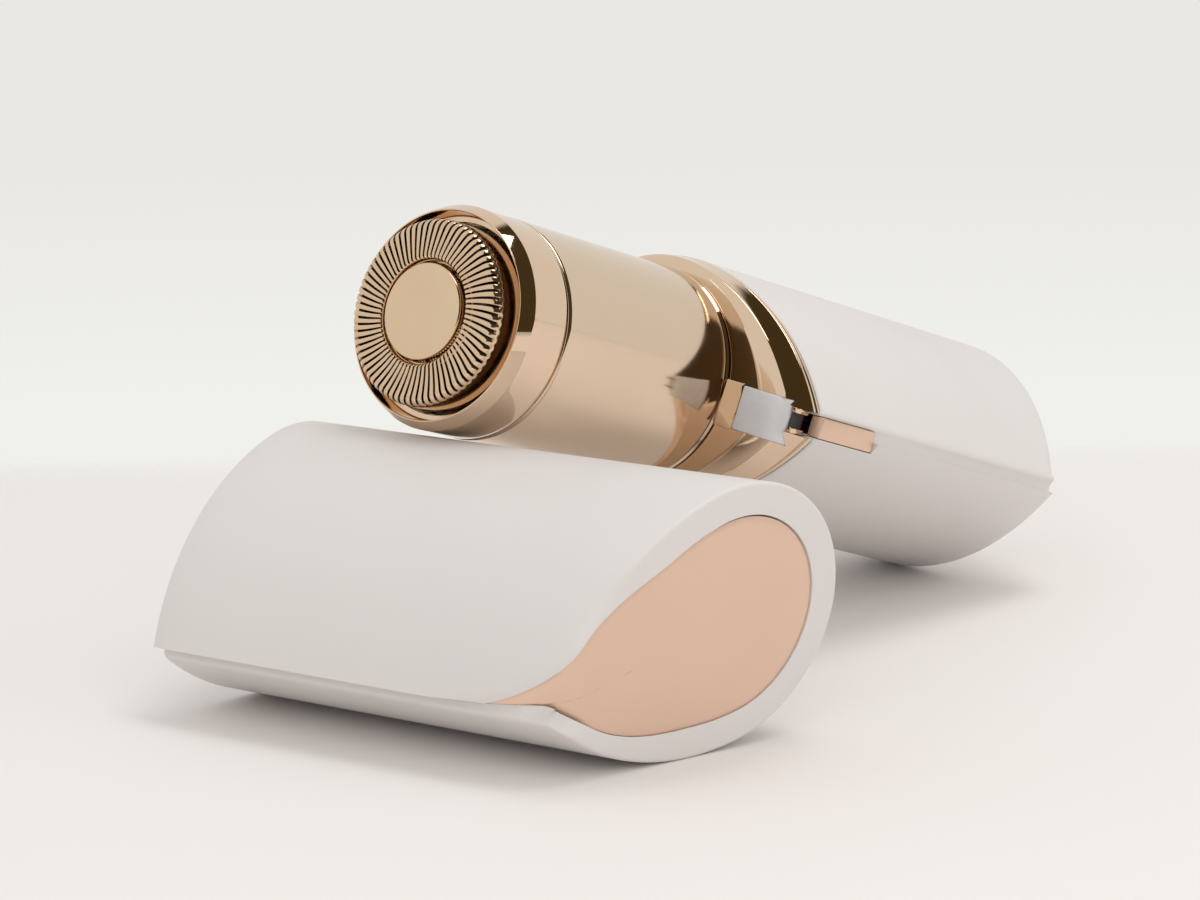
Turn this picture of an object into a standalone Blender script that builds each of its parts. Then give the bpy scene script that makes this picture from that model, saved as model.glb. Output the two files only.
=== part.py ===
"""Battery powered facial hair remover, lying with its cap off.

The hand unit leans on its own cap.  Metres, +Z up.  The cap and the hand unit each have a frame:
local z runs from the end that faces the viewer to the other end, local x points to the tip of the
teardrop section, and the overlapping sheet of the wrapped shell lies on the +y side of the tip.
"""
import math

import bmesh
import bpy
from mathutils import Matrix, Vector

# Clearances and cutting
FIT_GAP = 0.0003            # between pieces that touch on the real object
OVERRUN = 0.004             # how far a cutter passes the faces it cuts
MERGE = 0.00001             # merge distance of turned shapes

# Battery, chassis and barrel, from the inside out
BATTERY_RADIUS = 0.00725
BATTERY_LENGTH = 0.0495
NUB_RADIUS = 0.00275
NUB_HEIGHT = 0.001
CHASSIS_WALL = 0.0012
NECK_WALL = 0.00125
BARREL_WALL = 0.0009
BARREL_LENGTH = 0.0263
BARREL_LIP = 0.00025

# Teardrop section of the shell
CAP_WALL = 0.0014
TIP_OVERHANG = 0.0094
SIDE_RADIUS = 0.0269
WRAP_WIDTH = 0.0011
WRAP_DEPTH = 0.001

# Shaver head
HEAD_LENGTH = 0.0089
HEAD_RIM_BACK = 0.0023
HEAD_LIP_INSET = 0.0007
HEAD_LIP_LENGTH = 0.0015
HEAD_GROOVE_ROUND = 0.00035
HEAD_SHELF_BACK = 0.0043
HEAD_SHELF = 0.0006
FOIL_BACK = 0.0001
FOIL_MARGIN = 0.002
FOIL_SHEET = 0.0003
FOIL_SHOULDER = 0.001
FOIL_FLANGE = 0.0006
FOIL_TURN_SHARE = 1.5       # of the sheet, where it turns into the moat
FOIL_SLOTS = 72
FOIL_SWIRL_DEGREES = 5.0
FOIL_SLOT_SHARE = 0.48
DISC_RADIUS = 0.00495
DISC_HEIGHT = 0.0009
MOAT_WIDTH = 0.00045
MOAT_DEPTH = 0.0013
MOAT_FLOOR = 0.0004

# Rotating cutter
BLADE_COUNT = 18
BLADE_SHARE = 0.28
BLADE_HEIGHT = 0.0019
BLADE_LENGTH = 0.0026
BLADE_RING_THICKNESS = 0.0005
CARRIER_THICKNESS = 0.0012
SPINDLE_RADIUS = 0.0034
CUTTER_SPRING_LENGTH = 0.0016
CUTTER_SPRING_TURNS = 2.5
SPRING_WIRE = 0.00045
WASHER_THICKNESS = 0.0003
BASE_PLATE = 0.0011
SPIGOT_LENGTH = 0.0028
SPIGOT_WALL = 0.0012

# Drive
SHAFT_RADIUS = 0.001
DOG_RADIUS = 0.0026
DOG_LENGTH = 0.0026
KEY_LENGTH = 0.0018
KEY_WIDTH = 0.0016
MOTOR_RADIUS = 0.0076
MOTOR_LENGTH = 0.0135
MOTOR_BOSS_RADIUS = 0.003
CAN_WALL = 0.0006
MAGNET_THICKNESS = 0.0012
MOUNT_THICKNESS = 0.0013
DAMPER_LENGTH = 0.006
END_CAP_LENGTH = 0.0014

# Chassis ends and contacts
BULKHEAD = 0.0013
CONTACT_PLATE = 0.0005
CONTACT_SPRING_LENGTH = 0.0017
CONTACT_SPRING_TURNS = 2.0
CONTACT_SPRING_RADIUS = 0.0036
CONTACT_SPRING_TOP_SHARE = 0.6
CHASSIS_END = 0.001

# Shoulder collar between the barrel and the housing
COLLAR_DEPTH = 0.0036
NECK_LENGTH = 0.0042
SKIRT_LENGTH = 0.0027
SKIRT_WALL = 0.0012
LENS_WIDTH = 0.0047
LENS_START = 0.0022         # past the barrel's surface, toward the tip
LENS_RUN = 0.0051
LENS_RISE = 0.0026
LENS_SHIFT = 0.0004

# Housing
HOUSING_WALL = 0.0016
HOUSING_END_ROOM = 0.00177  # between the chassis and the far wall, where they come closest
HOUSING_FLOOR = 0.002
HOUSING_EDGE_ROUND = 0.0016
FAR_SLOPE_X_SHARE = -0.358
FAR_SLOPE_Y_SHARE = -0.129

# Switch, board and lamp
BAR_LENGTH = 0.0096
BAR_WIDTH = 0.0022
BAR_HEIGHT = 0.0016
BAR_SETBACK = 0.0006        # below the tip corner
STEM_WIDTH = 0.0012
STEM_LENGTH = 0.0018
SWITCH_BODY_LENGTH = 0.008
SWITCH_BODY_WIDTH = 0.005
SWITCH_BODY_HEIGHT = 0.0042
BOARD_THICKNESS = 0.001
BOARD_WIDTH = 0.0092
BOARD_LENGTH = 0.0195
LAMP_RADIUS = 0.0012
LAMP_LENGTH = 0.0023
LAMP_LEG = 0.0007
SCREW_RADIUS = 0.0006
SCREW_HEAD_RADIUS = 0.0012
SCREW_HEAD = 0.0008
SCREW_EDGE_SHARE = 1.5      # of the head, from a screw to the board's end
LEAD_RADIUS = 0.00045
LEAD_DEGREES = 50

# Cap
CAP_LENGTH = 0.0561
CAP_SLOPE_X_SHARE = 0.214
CAP_SLOPE_Y_SHARE = -0.131
CAP_FLOOR = 0.0115          # from the reference of the closed end to the inside
DIVE_START = 0.0175         # along x, where the overlapping sheet leaves the end plane
DIVE_DEPTH = 0.0165
NOSE_START = 0.019
NOSE_DEPTH = 0.0052
BAND_WIDTH = 0.0032
INLAY_RECESS = 0.0004
INLAY_THICKNESS = 0.0011
INLAY_SHEET_RADIUS = 0.030
INLAY_NOSE_RADIUS = 0.060
INLAY_OVERSHOOT = 0.0019
LINER_WALL = 0.0012
LINER_SETBACK = 0.0005

# How the two lie
CAP_ROLL_DEGREES = 196.1
HAND_ROLL_DEGREES = -8.4
HAND_PLACE = 0.0398         # from the cap's closed end to the barrel's axis
CONTACT_BACK = 0.0068       # from the disc's face to where the barrel rests on the cap

# Facets
TURN_STEPS = 40
COLLAR_STEPS = 48
INNER_STEPS = 24
ROUNDING_STEPS = 3
LIP_STEPS = 4
SMALL_STEPS = 20
SIDE_STEPS = 9
ROUND_STEPS = 32

# Radii that follow from the battery outward
CHASSIS_INNER = BATTERY_RADIUS + FIT_GAP
CHASSIS_OUTER = CHASSIS_INNER + CHASSIS_WALL
NECK_INNER = CHASSIS_OUTER + FIT_GAP
NECK_OUTER = NECK_INNER + NECK_WALL
BARREL_INNER = NECK_OUTER + FIT_GAP
BARREL_RADIUS = BARREL_INNER + BARREL_WALL
CAP_BORE = BARREL_RADIUS + FIT_GAP
ROUND_RADIUS = CAP_BORE + CAP_WALL
TIP_REACH = ROUND_RADIUS + TIP_OVERHANG

# Stations along the hand unit's axis, from the disc's face
FOIL_RADIUS = BARREL_RADIUS - FOIL_MARGIN
FOIL_INSIDE = FOIL_BACK + FOIL_SHEET
FLANGE_BACK = HEAD_SHELF_BACK + HEAD_SHELF + FIT_GAP
BLADE_TOP = FOIL_INSIDE + FIT_GAP
BLADE_ROOT = BLADE_TOP + BLADE_HEIGHT
RING_BACK = BLADE_ROOT + BLADE_RING_THICKNESS
CARRIER_FRONT = RING_BACK + FIT_GAP
CARRIER_BACK = CARRIER_FRONT + CARRIER_THICKNESS
CUTTER_SPRING_FRONT = CARRIER_BACK + FIT_GAP
WASHER_FRONT = CUTTER_SPRING_FRONT + CUTTER_SPRING_LENGTH + FIT_GAP
WASHER_BACK = WASHER_FRONT + WASHER_THICKNESS
BASE_FRONT = WASHER_BACK + FIT_GAP
BASE_BACK = BASE_FRONT + BASE_PLATE
SPINDLE_BACK = BASE_BACK + FIT_GAP
DOG_FRONT = SPINDLE_BACK + FIT_GAP
DOG_BACK = DOG_FRONT + DOG_LENGTH
MOUNT_FRONT = DOG_BACK + FIT_GAP
MOUNT_BACK = MOUNT_FRONT + MOUNT_THICKNESS
CAN_FRONT = MOUNT_BACK + FIT_GAP
CAN_BACK = CAN_FRONT + MOTOR_LENGTH
END_CAP_FRONT = CAN_BACK + FIT_GAP
END_CAP_BACK = END_CAP_FRONT + END_CAP_LENGTH
CHASSIS_FRONT = END_CAP_BACK + FIT_GAP
PLATE_FRONT = CHASSIS_FRONT + BULKHEAD + FIT_GAP
NUB_FRONT = PLATE_FRONT + CONTACT_PLATE + FIT_GAP
BATTERY_FRONT = NUB_FRONT + NUB_HEIGHT
BATTERY_BACK = BATTERY_FRONT + BATTERY_LENGTH
CONTACT_SPRING_FRONT = BATTERY_BACK + FIT_GAP
CHASSIS_WALL_FRONT = CONTACT_SPRING_FRONT + CONTACT_SPRING_LENGTH + FIT_GAP
CHASSIS_BACK = CHASSIS_WALL_FRONT + CHASSIS_END
BARREL_FRONT = HEAD_LENGTH + FIT_GAP
BARREL_BACK = BARREL_FRONT + BARREL_LENGTH
COLLAR_FRONT = BARREL_BACK + FIT_GAP
COLLAR_BACK = COLLAR_FRONT + COLLAR_DEPTH
HOUSING_FRONT = COLLAR_BACK + FIT_GAP
END_SLOPE_SHARE = math.hypot(FAR_SLOPE_X_SHARE, FAR_SLOPE_Y_SHARE)
HOUSING_BACK = CHASSIS_BACK + CHASSIS_OUTER * END_SLOPE_SHARE + HOUSING_END_ROOM + HOUSING_FLOOR
SPIGOT_BACK = HEAD_LENGTH + SPIGOT_LENGTH

# Places toward the tip
BOARD_LOW = CHASSIS_OUTER + FIT_GAP
BOARD_TOP = BOARD_LOW + BOARD_THICKNESS
SWITCH_LOW = BOARD_TOP + FIT_GAP
SWITCH_TOP = SWITCH_LOW + SWITCH_BODY_HEIGHT
BAR_TOP = TIP_REACH - BAR_SETBACK
BAR_LOW = BAR_TOP - BAR_HEIGHT
BAR_FRONT = HOUSING_FRONT
BAR_BACK = BAR_FRONT + BAR_LENGTH
BOARD_FRONT = COLLAR_BACK + FIT_GAP + LAMP_LEG
BOARD_BACK = BOARD_FRONT + BOARD_LENGTH
SKIRT_BACK = COLLAR_BACK + SKIRT_LENGTH
STEM_BACK = BAR_BACK - STEM_WIDTH / 2
STEM_FRONT = STEM_BACK - STEM_LENGTH
SWITCH_BACK = STEM_BACK + SWITCH_BODY_WIDTH / 4
SWITCH_FRONT = SWITCH_BACK - SWITCH_BODY_LENGTH


def clear_scene():
    for item in list(bpy.data.objects):
        bpy.data.objects.remove(item, do_unlink=True)


def new_collection(name):
    group = bpy.data.collections.new(name)
    bpy.context.scene.collection.children.link(group)
    return group


def new_material(name, colour, roughness, metallic):
    finish = bpy.data.materials.new(name)
    finish.use_nodes = True
    shader = finish.node_tree.nodes["Principled BSDF"]
    shader.inputs["Base Color"].default_value = (*colour, 1)
    shader.inputs["Roughness"].default_value = roughness
    shader.inputs["Metallic"].default_value = metallic
    finish.diffuse_color = (*colour, 1)
    return finish


clear_scene()
PARTS = new_collection("facial_hair_remover")
CUTTERS = new_collection("cutters")
FINISHES = {
    "rose_gold": new_material("rose_gold", (0.76, 0.50, 0.36), 0.12, 1),
    "foil_metal": new_material("foil_metal", (0.74, 0.52, 0.36), 0.15, 1),
    "satin_rose": new_material("satin_rose", (0.70, 0.47, 0.34), 0.38, 0.7),
    "shell_white": new_material("shell_white", (0.78, 0.76, 0.74), 0.42, 0),
    "lens_grey": new_material("lens_grey", (0.62, 0.63, 0.65), 0.25, 0),
    "steel": new_material("steel", (0.55, 0.55, 0.56), 0.3, 1),
    "inner_plastic": new_material("inner_plastic", (0.72, 0.72, 0.70), 0.5, 0),
    "dark_plastic": new_material("dark_plastic", (0.05, 0.05, 0.055), 0.5, 0),
    "board_green": new_material("board_green", (0.03, 0.16, 0.07), 0.45, 0),
    "rubber": new_material("rubber", (0.04, 0.04, 0.04), 0.8, 0),
    "cell_jacket": new_material("cell_jacket", (0.10, 0.11, 0.13), 0.35, 0.2),
    "brass": new_material("brass", (0.65, 0.47, 0.20), 0.3, 1),
    "copper": new_material("copper", (0.62, 0.30, 0.18), 0.35, 1),
    "lead_red": new_material("lead_red", (0.55, 0.03, 0.02), 0.45, 0),
    "lead_black": new_material("lead_black", (0.03, 0.03, 0.03), 0.45, 0),
}
CAP_FRAME = bpy.data.objects.new("cap_frame", None)
HAND_FRAME = bpy.data.objects.new("hand_frame", None)
for frame in (CAP_FRAME, HAND_FRAME):
    frame.empty_display_size = BARREL_RADIUS
    PARTS.objects.link(frame)


def place(name, mesh, frame, finish=None):
    """Make an object in its frame; one without a finish is a cutter."""
    item = bpy.data.objects.new(name, mesh)
    item.parent = frame
    if finish:
        PARTS.objects.link(item)
        mesh.materials.append(FINISHES[finish])
    else:
        CUTTERS.objects.link(item)
        item.display_type = "WIRE"
        item.hide_render = True
    return item


def mesh_of(name, shape, smooth_degrees=35, turn_outward=True):
    if turn_outward:
        bmesh.ops.recalc_face_normals(shape, faces=shape.faces)
    mesh = bpy.data.meshes.new(name)
    shape.to_mesh(mesh)
    shape.free()
    mesh.shade_smooth()
    mesh.set_sharp_from_angle(angle=math.radians(smooth_degrees))
    return mesh


def boolean(item, other, operation="DIFFERENCE"):
    step = item.modifiers.new(other.name, "BOOLEAN")
    step.operation = operation
    step.solver = "EXACT"
    step.object = other
    return item


def turned(name, profile, frame, finish=None, steps=TURN_STEPS, closed=False):
    """Turn (radius, station) points about the frame's axis; a closed profile makes a ring."""
    run = list(profile)
    loop = run if closed else run + [(0, run[-1][1]), (0, run[0][1])]
    area = sum(a[0] * b[1] - b[0] * a[1] for a, b in zip(loop, loop[1:] + loop[:1]))
    if area > 0:
        run.reverse()
    mesh = bpy.data.meshes.new(name)
    edges = [(i, i + 1) for i in range(len(run) - 1)]
    if closed:
        edges.append((len(run) - 1, 0))
    mesh.from_pydata([(radius, 0, station) for radius, station in run], edges, [])
    item = place(name, mesh, frame, finish)
    turn = item.modifiers.new("turn", "SCREW")
    turn.axis = "Z"
    turn.steps = turn.render_steps = steps
    turn.use_merge_vertices = True
    turn.merge_threshold = MERGE
    turn.use_smooth_shade = True
    return item


def level(station):
    return lambda x, y: station


def slope(station, x_share, y_share):
    return lambda x, y: station + x_share * x + y_share * y


def prism(name, outline, low, high, frame, finish=None):
    """Extrude a flat outline between two surfaces."""
    shape = bmesh.new()
    base = shape.faces.new([shape.verts.new((x, y, low(x, y))) for x, y in outline])
    grown = bmesh.ops.extrude_face_region(shape, geom=[base])["geom"]
    for vert in grown:
        if isinstance(vert, bmesh.types.BMVert):
            vert.co.z = high(vert.co.x, vert.co.y)
    return place(name, mesh_of(name, shape), frame, finish)


def rounded_prism(name, low, high, rounding, frame, finish):
    """The teardrop run from a level to a slanted end whose edge is rounded in flat steps."""
    outline = teardrop()
    rings = [[(x, y, low(x, y)) for x, y in outline]]
    for i in range(ROUNDING_STEPS + 1):
        angle = math.pi / 2 * i / ROUNDING_STEPS
        inset = rounding * (1 - math.cos(angle))
        drop = rounding * (1 - math.sin(angle))
        rings.append([(x, y, high(x, y) - drop) for x, y in teardrop(inset)])
    shape = bmesh.new()
    rows = [[shape.verts.new(point) for point in ring] for ring in rings]
    count = len(outline)
    for row, following in zip(rows, rows[1:]):
        for i in range(count):
            j = (i + 1) % count
            shape.faces.new((row[i], row[j], following[j], following[i]))
    shape.faces.new(rows[0][::-1])
    shape.faces.new(rows[-1])
    return place(name, mesh_of(name, shape), frame, finish)


def block(name, lows, highs, frame, finish=None):
    shape = bmesh.new()
    bmesh.ops.create_cube(shape, size=1)
    size = [high - low for low, high in zip(lows, highs)]
    middle = [(high + low) / 2 for low, high in zip(lows, highs)]
    bmesh.ops.scale(shape, vec=size, verts=shape.verts)
    bmesh.ops.translate(shape, vec=middle, verts=shape.verts)
    return place(name, mesh_of(name, shape, turn_outward=False), frame, finish)


def rod(name, radius, start, end, frame, finish=None, steps=SMALL_STEPS):
    """A round bar from one point to another."""
    start, end = Vector(start), Vector(end)
    shape = bmesh.new()
    bmesh.ops.create_cone(shape, cap_ends=True, segments=steps, radius1=radius, radius2=radius,
                          depth=(end - start).length)
    turn = (end - start).to_track_quat("Z", "Y").to_matrix().to_4x4()
    shape.transform(Matrix.Translation((start + end) / 2) @ turn)
    return place(name, mesh_of(name, shape, turn_outward=False), frame, finish)


def wire(name, points, radius, frame, finish):
    """A wire along points, its ends capped."""
    line = bpy.data.curves.new(name, "CURVE")
    line.dimensions = "3D"
    line.bevel_depth = radius
    line.bevel_resolution = 1
    line.use_fill_caps = True
    spline = line.splines.new("POLY")
    spline.points.add(len(points) - 1)
    for spot, point in zip(spline.points, points):
        spot.co = (*point, 1)
    return place(name, line, frame, finish)


def coil(name, radius, wire_radius, front, length, turns, frame, finish, end_radius=None):
    """A spring whose wire stays within its length."""
    steps = int(turns * 12)
    last = radius if end_radius is None else end_radius
    points = []
    for i in range(steps + 1):
        share = i / steps
        angle = 2 * math.pi * turns * share
        reach = radius + (last - radius) * share
        station = front + wire_radius + (length - 2 * wire_radius) * share
        points.append((reach * math.cos(angle), reach * math.sin(angle), station))
    return wire(name, points, wire_radius, frame, finish)


def loft(name, rings, frame, finish=None):
    """Join rings of equal count in a closed band, the last one back to the first."""
    shape = bmesh.new()
    rows = [[shape.verts.new(point) for point in ring] for ring in rings]
    count = len(rows[0])
    for row, following in zip(rows, rows[1:] + rows[:1]):
        for i in range(count):
            j = (i + 1) % count
            shape.faces.new((row[i], row[j], following[j], following[i]))
    return place(name, mesh_of(name, shape, 28), frame, finish)


def side_arc(round_radius, tip, side_radius, inset):
    """Points of one side of the teardrop from the tip to the round, and the angle they end at."""
    reach = side_radius - round_radius
    cosine = (side_radius ** 2 - reach ** 2 - tip ** 2) / (2 * tip * reach)
    end = math.acos(max(-1, min(1, cosine)))
    centre = (-reach * math.cos(end), -reach * math.sin(end))
    radius = side_radius - inset
    corner = centre[0] + math.sqrt(radius ** 2 - centre[1] ** 2)
    start = math.atan2(-centre[1], corner - centre[0])
    points = []
    for i in range(SIDE_STEPS):
        angle = start + (end - start) * i / SIDE_STEPS
        points.append((centre[0] + radius * math.cos(angle), centre[1] + radius * math.sin(angle)))
    return points, end


def teardrop(inset=0, round_radius=ROUND_RADIUS, sheet=(TIP_REACH, SIDE_RADIUS),
             nose=(TIP_REACH, SIDE_RADIUS)):
    """Outline from the tip round by +y; each side has its own tip reach and radius."""
    upper, upper_end = side_arc(round_radius, *sheet, inset)
    lower, lower_end = side_arc(round_radius, *nose, inset)
    radius = round_radius - inset
    sweep = 2 * math.pi - lower_end - upper_end
    middle = [(radius * math.cos(upper_end + sweep * i / ROUND_STEPS),
               radius * math.sin(upper_end + sweep * i / ROUND_STEPS))
              for i in range(ROUND_STEPS + 1)]
    back = [(x, -y) for x, y in reversed(lower)]
    if abs(back[-1][0] - upper[0][0]) < MERGE:
        back.pop()
    return upper + middle + back


def wrap_groove(name, frame, front, back):
    """Cutter for the gap beside the overlapping edge, all along the tip."""
    return block(name, (TIP_REACH - WRAP_DEPTH, -WRAP_WIDTH, front),
                 (TIP_REACH + OVERRUN, 0, back), frame)


def end_profile(start, depth, sink):
    """(x, z) points of the cap's end: the plane, then a quarter ellipse down to the tip."""
    width = TIP_REACH - start
    level_start = CAP_SLOPE_X_SHARE * start
    steps = 12
    points = [(-ROUND_RADIUS - OVERRUN, CAP_SLOPE_X_SHARE * (-ROUND_RADIUS - OVERRUN) + sink)]
    for i in range(steps + 1):
        angle = math.pi / 2 * i / steps
        points.append((start + (width - sink) * math.sin(angle),
                       level_start + depth - (depth - sink) * math.cos(angle)))
    return points


def end_solid(name, outline, y_low, y_high, finish=None):
    """Solid with an (x, z) outline, run along y and sheared to the end plane's side slope."""
    shape = bmesh.new()
    base = shape.faces.new([shape.verts.new((x, y_low, z)) for x, z in outline])
    grown = bmesh.ops.extrude_face_region(shape, geom=[base])["geom"]
    for vert in grown:
        if isinstance(vert, bmesh.types.BMVert):
            vert.co.y = y_high
    for vert in shape.verts:
        vert.co.z += CAP_SLOPE_Y_SHARE * vert.co.y
    return place(name, mesh_of(name, shape), CAP_FRAME, finish)


def trim_outline(start, depth, sink):
    """Everything in front of the end profile."""
    profile = end_profile(start, depth, sink)
    front = -ROUND_RADIUS - OVERRUN
    beyond = TIP_REACH + OVERRUN
    return profile + [(beyond, profile[-1][1]), (beyond, front), (profile[0][0], front)]


def inlay_plan(grow):
    """Plan of the inlay: its round end, then two sides that run out at the tip."""
    radius = ROUND_RADIUS - BAND_WIDTH
    tip = TIP_REACH - WRAP_DEPTH - FIT_GAP
    return teardrop(-grow, radius, (TIP_REACH + INLAY_OVERSHOOT, INLAY_SHEET_RADIUS),
                    (tip, INLAY_NOSE_RADIUS))


def make_cap():
    outline = teardrop()
    width = TIP_REACH + OVERRUN
    shell = prism("cap_shell", outline, slope(0, CAP_SLOPE_X_SHARE, CAP_SLOPE_Y_SHARE),
                  level(CAP_LENGTH), CAP_FRAME, "shell_white")
    hollow = prism("cap_hollow_cutter", teardrop(CAP_WALL), level(CAP_FLOOR),
                   level(CAP_LENGTH + OVERRUN), CAP_FRAME)
    groove = wrap_groove("cap_groove_cutter", CAP_FRAME, -width, CAP_LENGTH + OVERRUN)
    dive = end_solid("sheet_edge_cutter", trim_outline(DIVE_START, DIVE_DEPTH, 0),
                     -WRAP_WIDTH, width)
    nose = end_solid("nose_cutter", trim_outline(NOSE_START, NOSE_DEPTH, 0), -width, -WRAP_WIDTH)
    pocket = end_solid("pocket_depth_cutter",
                       trim_outline(DIVE_START, DIVE_DEPTH, INLAY_RECESS + INLAY_THICKNESS + FIT_GAP),
                       -width, width)
    plan = prism("pocket_plan_cutter", inlay_plan(FIT_GAP), level(-width),
                 level(CAP_LENGTH), CAP_FRAME)
    boolean(pocket, plan, "INTERSECT")
    for cutter in (hollow, groove, dive, nose, pocket):
        boolean(shell, cutter)

    face = end_profile(DIVE_START, DIVE_DEPTH, INLAY_RECESS)
    back = end_profile(DIVE_START, DIVE_DEPTH, INLAY_RECESS + INLAY_THICKNESS)
    inlay = end_solid("cap_inlay", face + back[::-1], -width, width, "satin_rose")
    inlay_shape = prism("inlay_plan_cutter", inlay_plan(0), level(-width), level(CAP_LENGTH),
                        CAP_FRAME)
    inside = prism("inlay_side_cutter", teardrop(INLAY_RECESS * 2), level(-width),
                   level(CAP_LENGTH), CAP_FRAME)
    lip = block("inlay_lip_cutter", (TIP_REACH - WRAP_DEPTH - FIT_GAP * 2, -width, -width),
                (width, FIT_GAP, CAP_LENGTH), CAP_FRAME)
    boolean(inlay, inlay_shape, "INTERSECT")
    boolean(inlay, inside, "INTERSECT")
    boolean(inlay, lip)

    liner = prism("cap_liner", teardrop(CAP_WALL + FIT_GAP), level(CAP_FLOOR + FIT_GAP),
                  level(CAP_LENGTH - LINER_SETBACK), CAP_FRAME, "inner_plastic")
    bore = rod("cap_bore_cutter", CAP_BORE, (0, 0, 0), (0, 0, CAP_LENGTH + OVERRUN), CAP_FRAME,
               steps=TURN_STEPS)
    pocket_walls = prism("liner_pocket_cutter", teardrop(CAP_WALL + FIT_GAP + LINER_WALL), level(0),
                         level(CAP_LENGTH - LINER_SETBACK - LINER_WALL), CAP_FRAME)
    keep = rod("liner_wall_cutter", CAP_BORE + LINER_WALL, (0, 0, 0 - OVERRUN),
               (0, 0, CAP_LENGTH + OVERRUN), CAP_FRAME, steps=TURN_STEPS)
    boolean(pocket_walls, keep)
    round_side = block("liner_side_cutter", (-width, -width, 0),
                       (BATTERY_RADIUS, width, CAP_LENGTH + OVERRUN), CAP_FRAME)
    for cutter in (bore, pocket_walls, round_side):
        boolean(liner, cutter)


def make_head():
    inner = BARREL_INNER
    shelf = FOIL_RADIUS + FIT_GAP
    crest = BARREL_RADIUS - HEAD_LIP_INSET
    turns = [math.pi / 2 * i / LIP_STEPS for i in range(LIP_STEPS + 1)]
    nose = [(crest + HEAD_LIP_INSET * math.cos(turn),
             HEAD_RIM_BACK + HEAD_LIP_LENGTH * (1 - math.sin(turn))) for turn in turns]
    nose += [(crest - HEAD_GROOVE_ROUND * math.sin(turn),
              HEAD_RIM_BACK + HEAD_GROOVE_ROUND * (1 - math.cos(turn))) for turn in turns[2::2]]
    turned("head_ring", nose + [
        (crest - HEAD_GROOVE_ROUND, HEAD_SHELF_BACK), (shelf, HEAD_SHELF_BACK),
        (shelf, HEAD_SHELF_BACK + HEAD_SHELF),
        (inner, HEAD_SHELF_BACK + HEAD_SHELF), (inner, HEAD_LENGTH), (BARREL_RADIUS, HEAD_LENGTH),
    ], HAND_FRAME, "rose_gold", closed=True)

    wall = inner - FIT_GAP
    bore = SPINDLE_RADIUS + FIT_GAP
    turned("head_base", [
        (wall, FLANGE_BACK + FOIL_FLANGE + FIT_GAP), (wall, SPIGOT_BACK),
        (wall - SPIGOT_WALL, SPIGOT_BACK), (wall - SPIGOT_WALL, BASE_BACK), (bore, BASE_BACK),
        (bore, BASE_FRONT), (wall - SPIGOT_WALL / 2, BASE_FRONT),
        (wall - SPIGOT_WALL / 2, FLANGE_BACK + FOIL_FLANGE + FIT_GAP),
    ], HAND_FRAME, "inner_plastic", INNER_STEPS, closed=True)

    moat = DISC_RADIUS + MOAT_WIDTH
    stem = DISC_RADIUS / 2
    turned("foil_center", [
        (0, 0), (DISC_RADIUS - FOIL_SHEET / 2, 0), (DISC_RADIUS, FOIL_SHEET / 2),
        (DISC_RADIUS, MOAT_DEPTH), (moat + FOIL_SHEET, MOAT_DEPTH),
        (moat + FOIL_SHEET, MOAT_DEPTH + MOAT_FLOOR), (stem, MOAT_DEPTH + MOAT_FLOOR),
        (stem, DISC_HEIGHT + MOAT_DEPTH), (0, DISC_HEIGHT + MOAT_DEPTH),
    ], HAND_FRAME, "foil_metal", 2 * SMALL_STEPS)


def make_foil():
    """Pressed sheet with swirled slots: ribs and slots are alternate columns of one surface."""
    moat = DISC_RADIUS + MOAT_WIDTH
    radius = FOIL_RADIUS
    shoulder = FOIL_SHOULDER
    inner_turn = FOIL_SHEET * FOIL_TURN_SHARE
    rows = [(moat, MOAT_DEPTH - FIT_GAP), (moat + inner_turn, FOIL_BACK)]
    first_slot = len(rows) - 1
    for i in range(3):
        angle = math.pi / 2 * i / 2
        rows.append((radius - shoulder + shoulder * math.sin(angle),
                     FOIL_BACK + shoulder - shoulder * math.cos(angle)))
    last_slot = len(rows) - 1
    rows.append((radius, FLANGE_BACK + FOIL_FLANGE))
    slot_start, slot_end = rows[first_slot][0], rows[last_slot][0]
    shape = bmesh.new()
    pitch = 2 * math.pi / FOIL_SLOTS
    grid = []
    for reach, station in rows:
        share = min(1, max(0, (reach - slot_start) / (slot_end - slot_start)))
        swirl = math.radians(FOIL_SWIRL_DEGREES) * share
        line = []
        for k in range(FOIL_SLOTS):
            for offset in (0, FOIL_SLOT_SHARE * pitch):
                angle = k * pitch + offset + swirl
                line.append(shape.verts.new((reach * math.cos(angle), reach * math.sin(angle), station)))
        grid.append(line)
    count = 2 * FOIL_SLOTS
    for row in range(len(rows) - 1):
        for column in range(count):
            if first_slot <= row < last_slot and column % 2 == 0:
                continue
            following = (column + 1) % count
            shape.faces.new((grid[row][column], grid[row + 1][column],
                             grid[row + 1][following], grid[row][following]))
    bmesh.ops.reverse_faces(shape, faces=shape.faces)
    mesh = bpy.data.meshes.new("shaver_foil")
    shape.to_mesh(mesh)
    shape.free()
    mesh.shade_smooth()
    mesh.set_sharp_from_angle(angle=math.radians(30))
    foil = place("shaver_foil", mesh, HAND_FRAME, "foil_metal")
    sheet = foil.modifiers.new("sheet", "SOLIDIFY")
    sheet.thickness = FOIL_SHEET
    sheet.offset = -1
    sheet.use_even_offset = True

    frame_inner = radius + FIT_GAP
    turned("foil_frame", [
        (frame_inner, FLANGE_BACK), (BARREL_INNER - FIT_GAP, FLANGE_BACK),
        (BARREL_INNER - FIT_GAP, FLANGE_BACK + FOIL_FLANGE), (frame_inner, FLANGE_BACK + FOIL_FLANGE),
    ], HAND_FRAME, "foil_metal", INNER_STEPS, closed=True)


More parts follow.
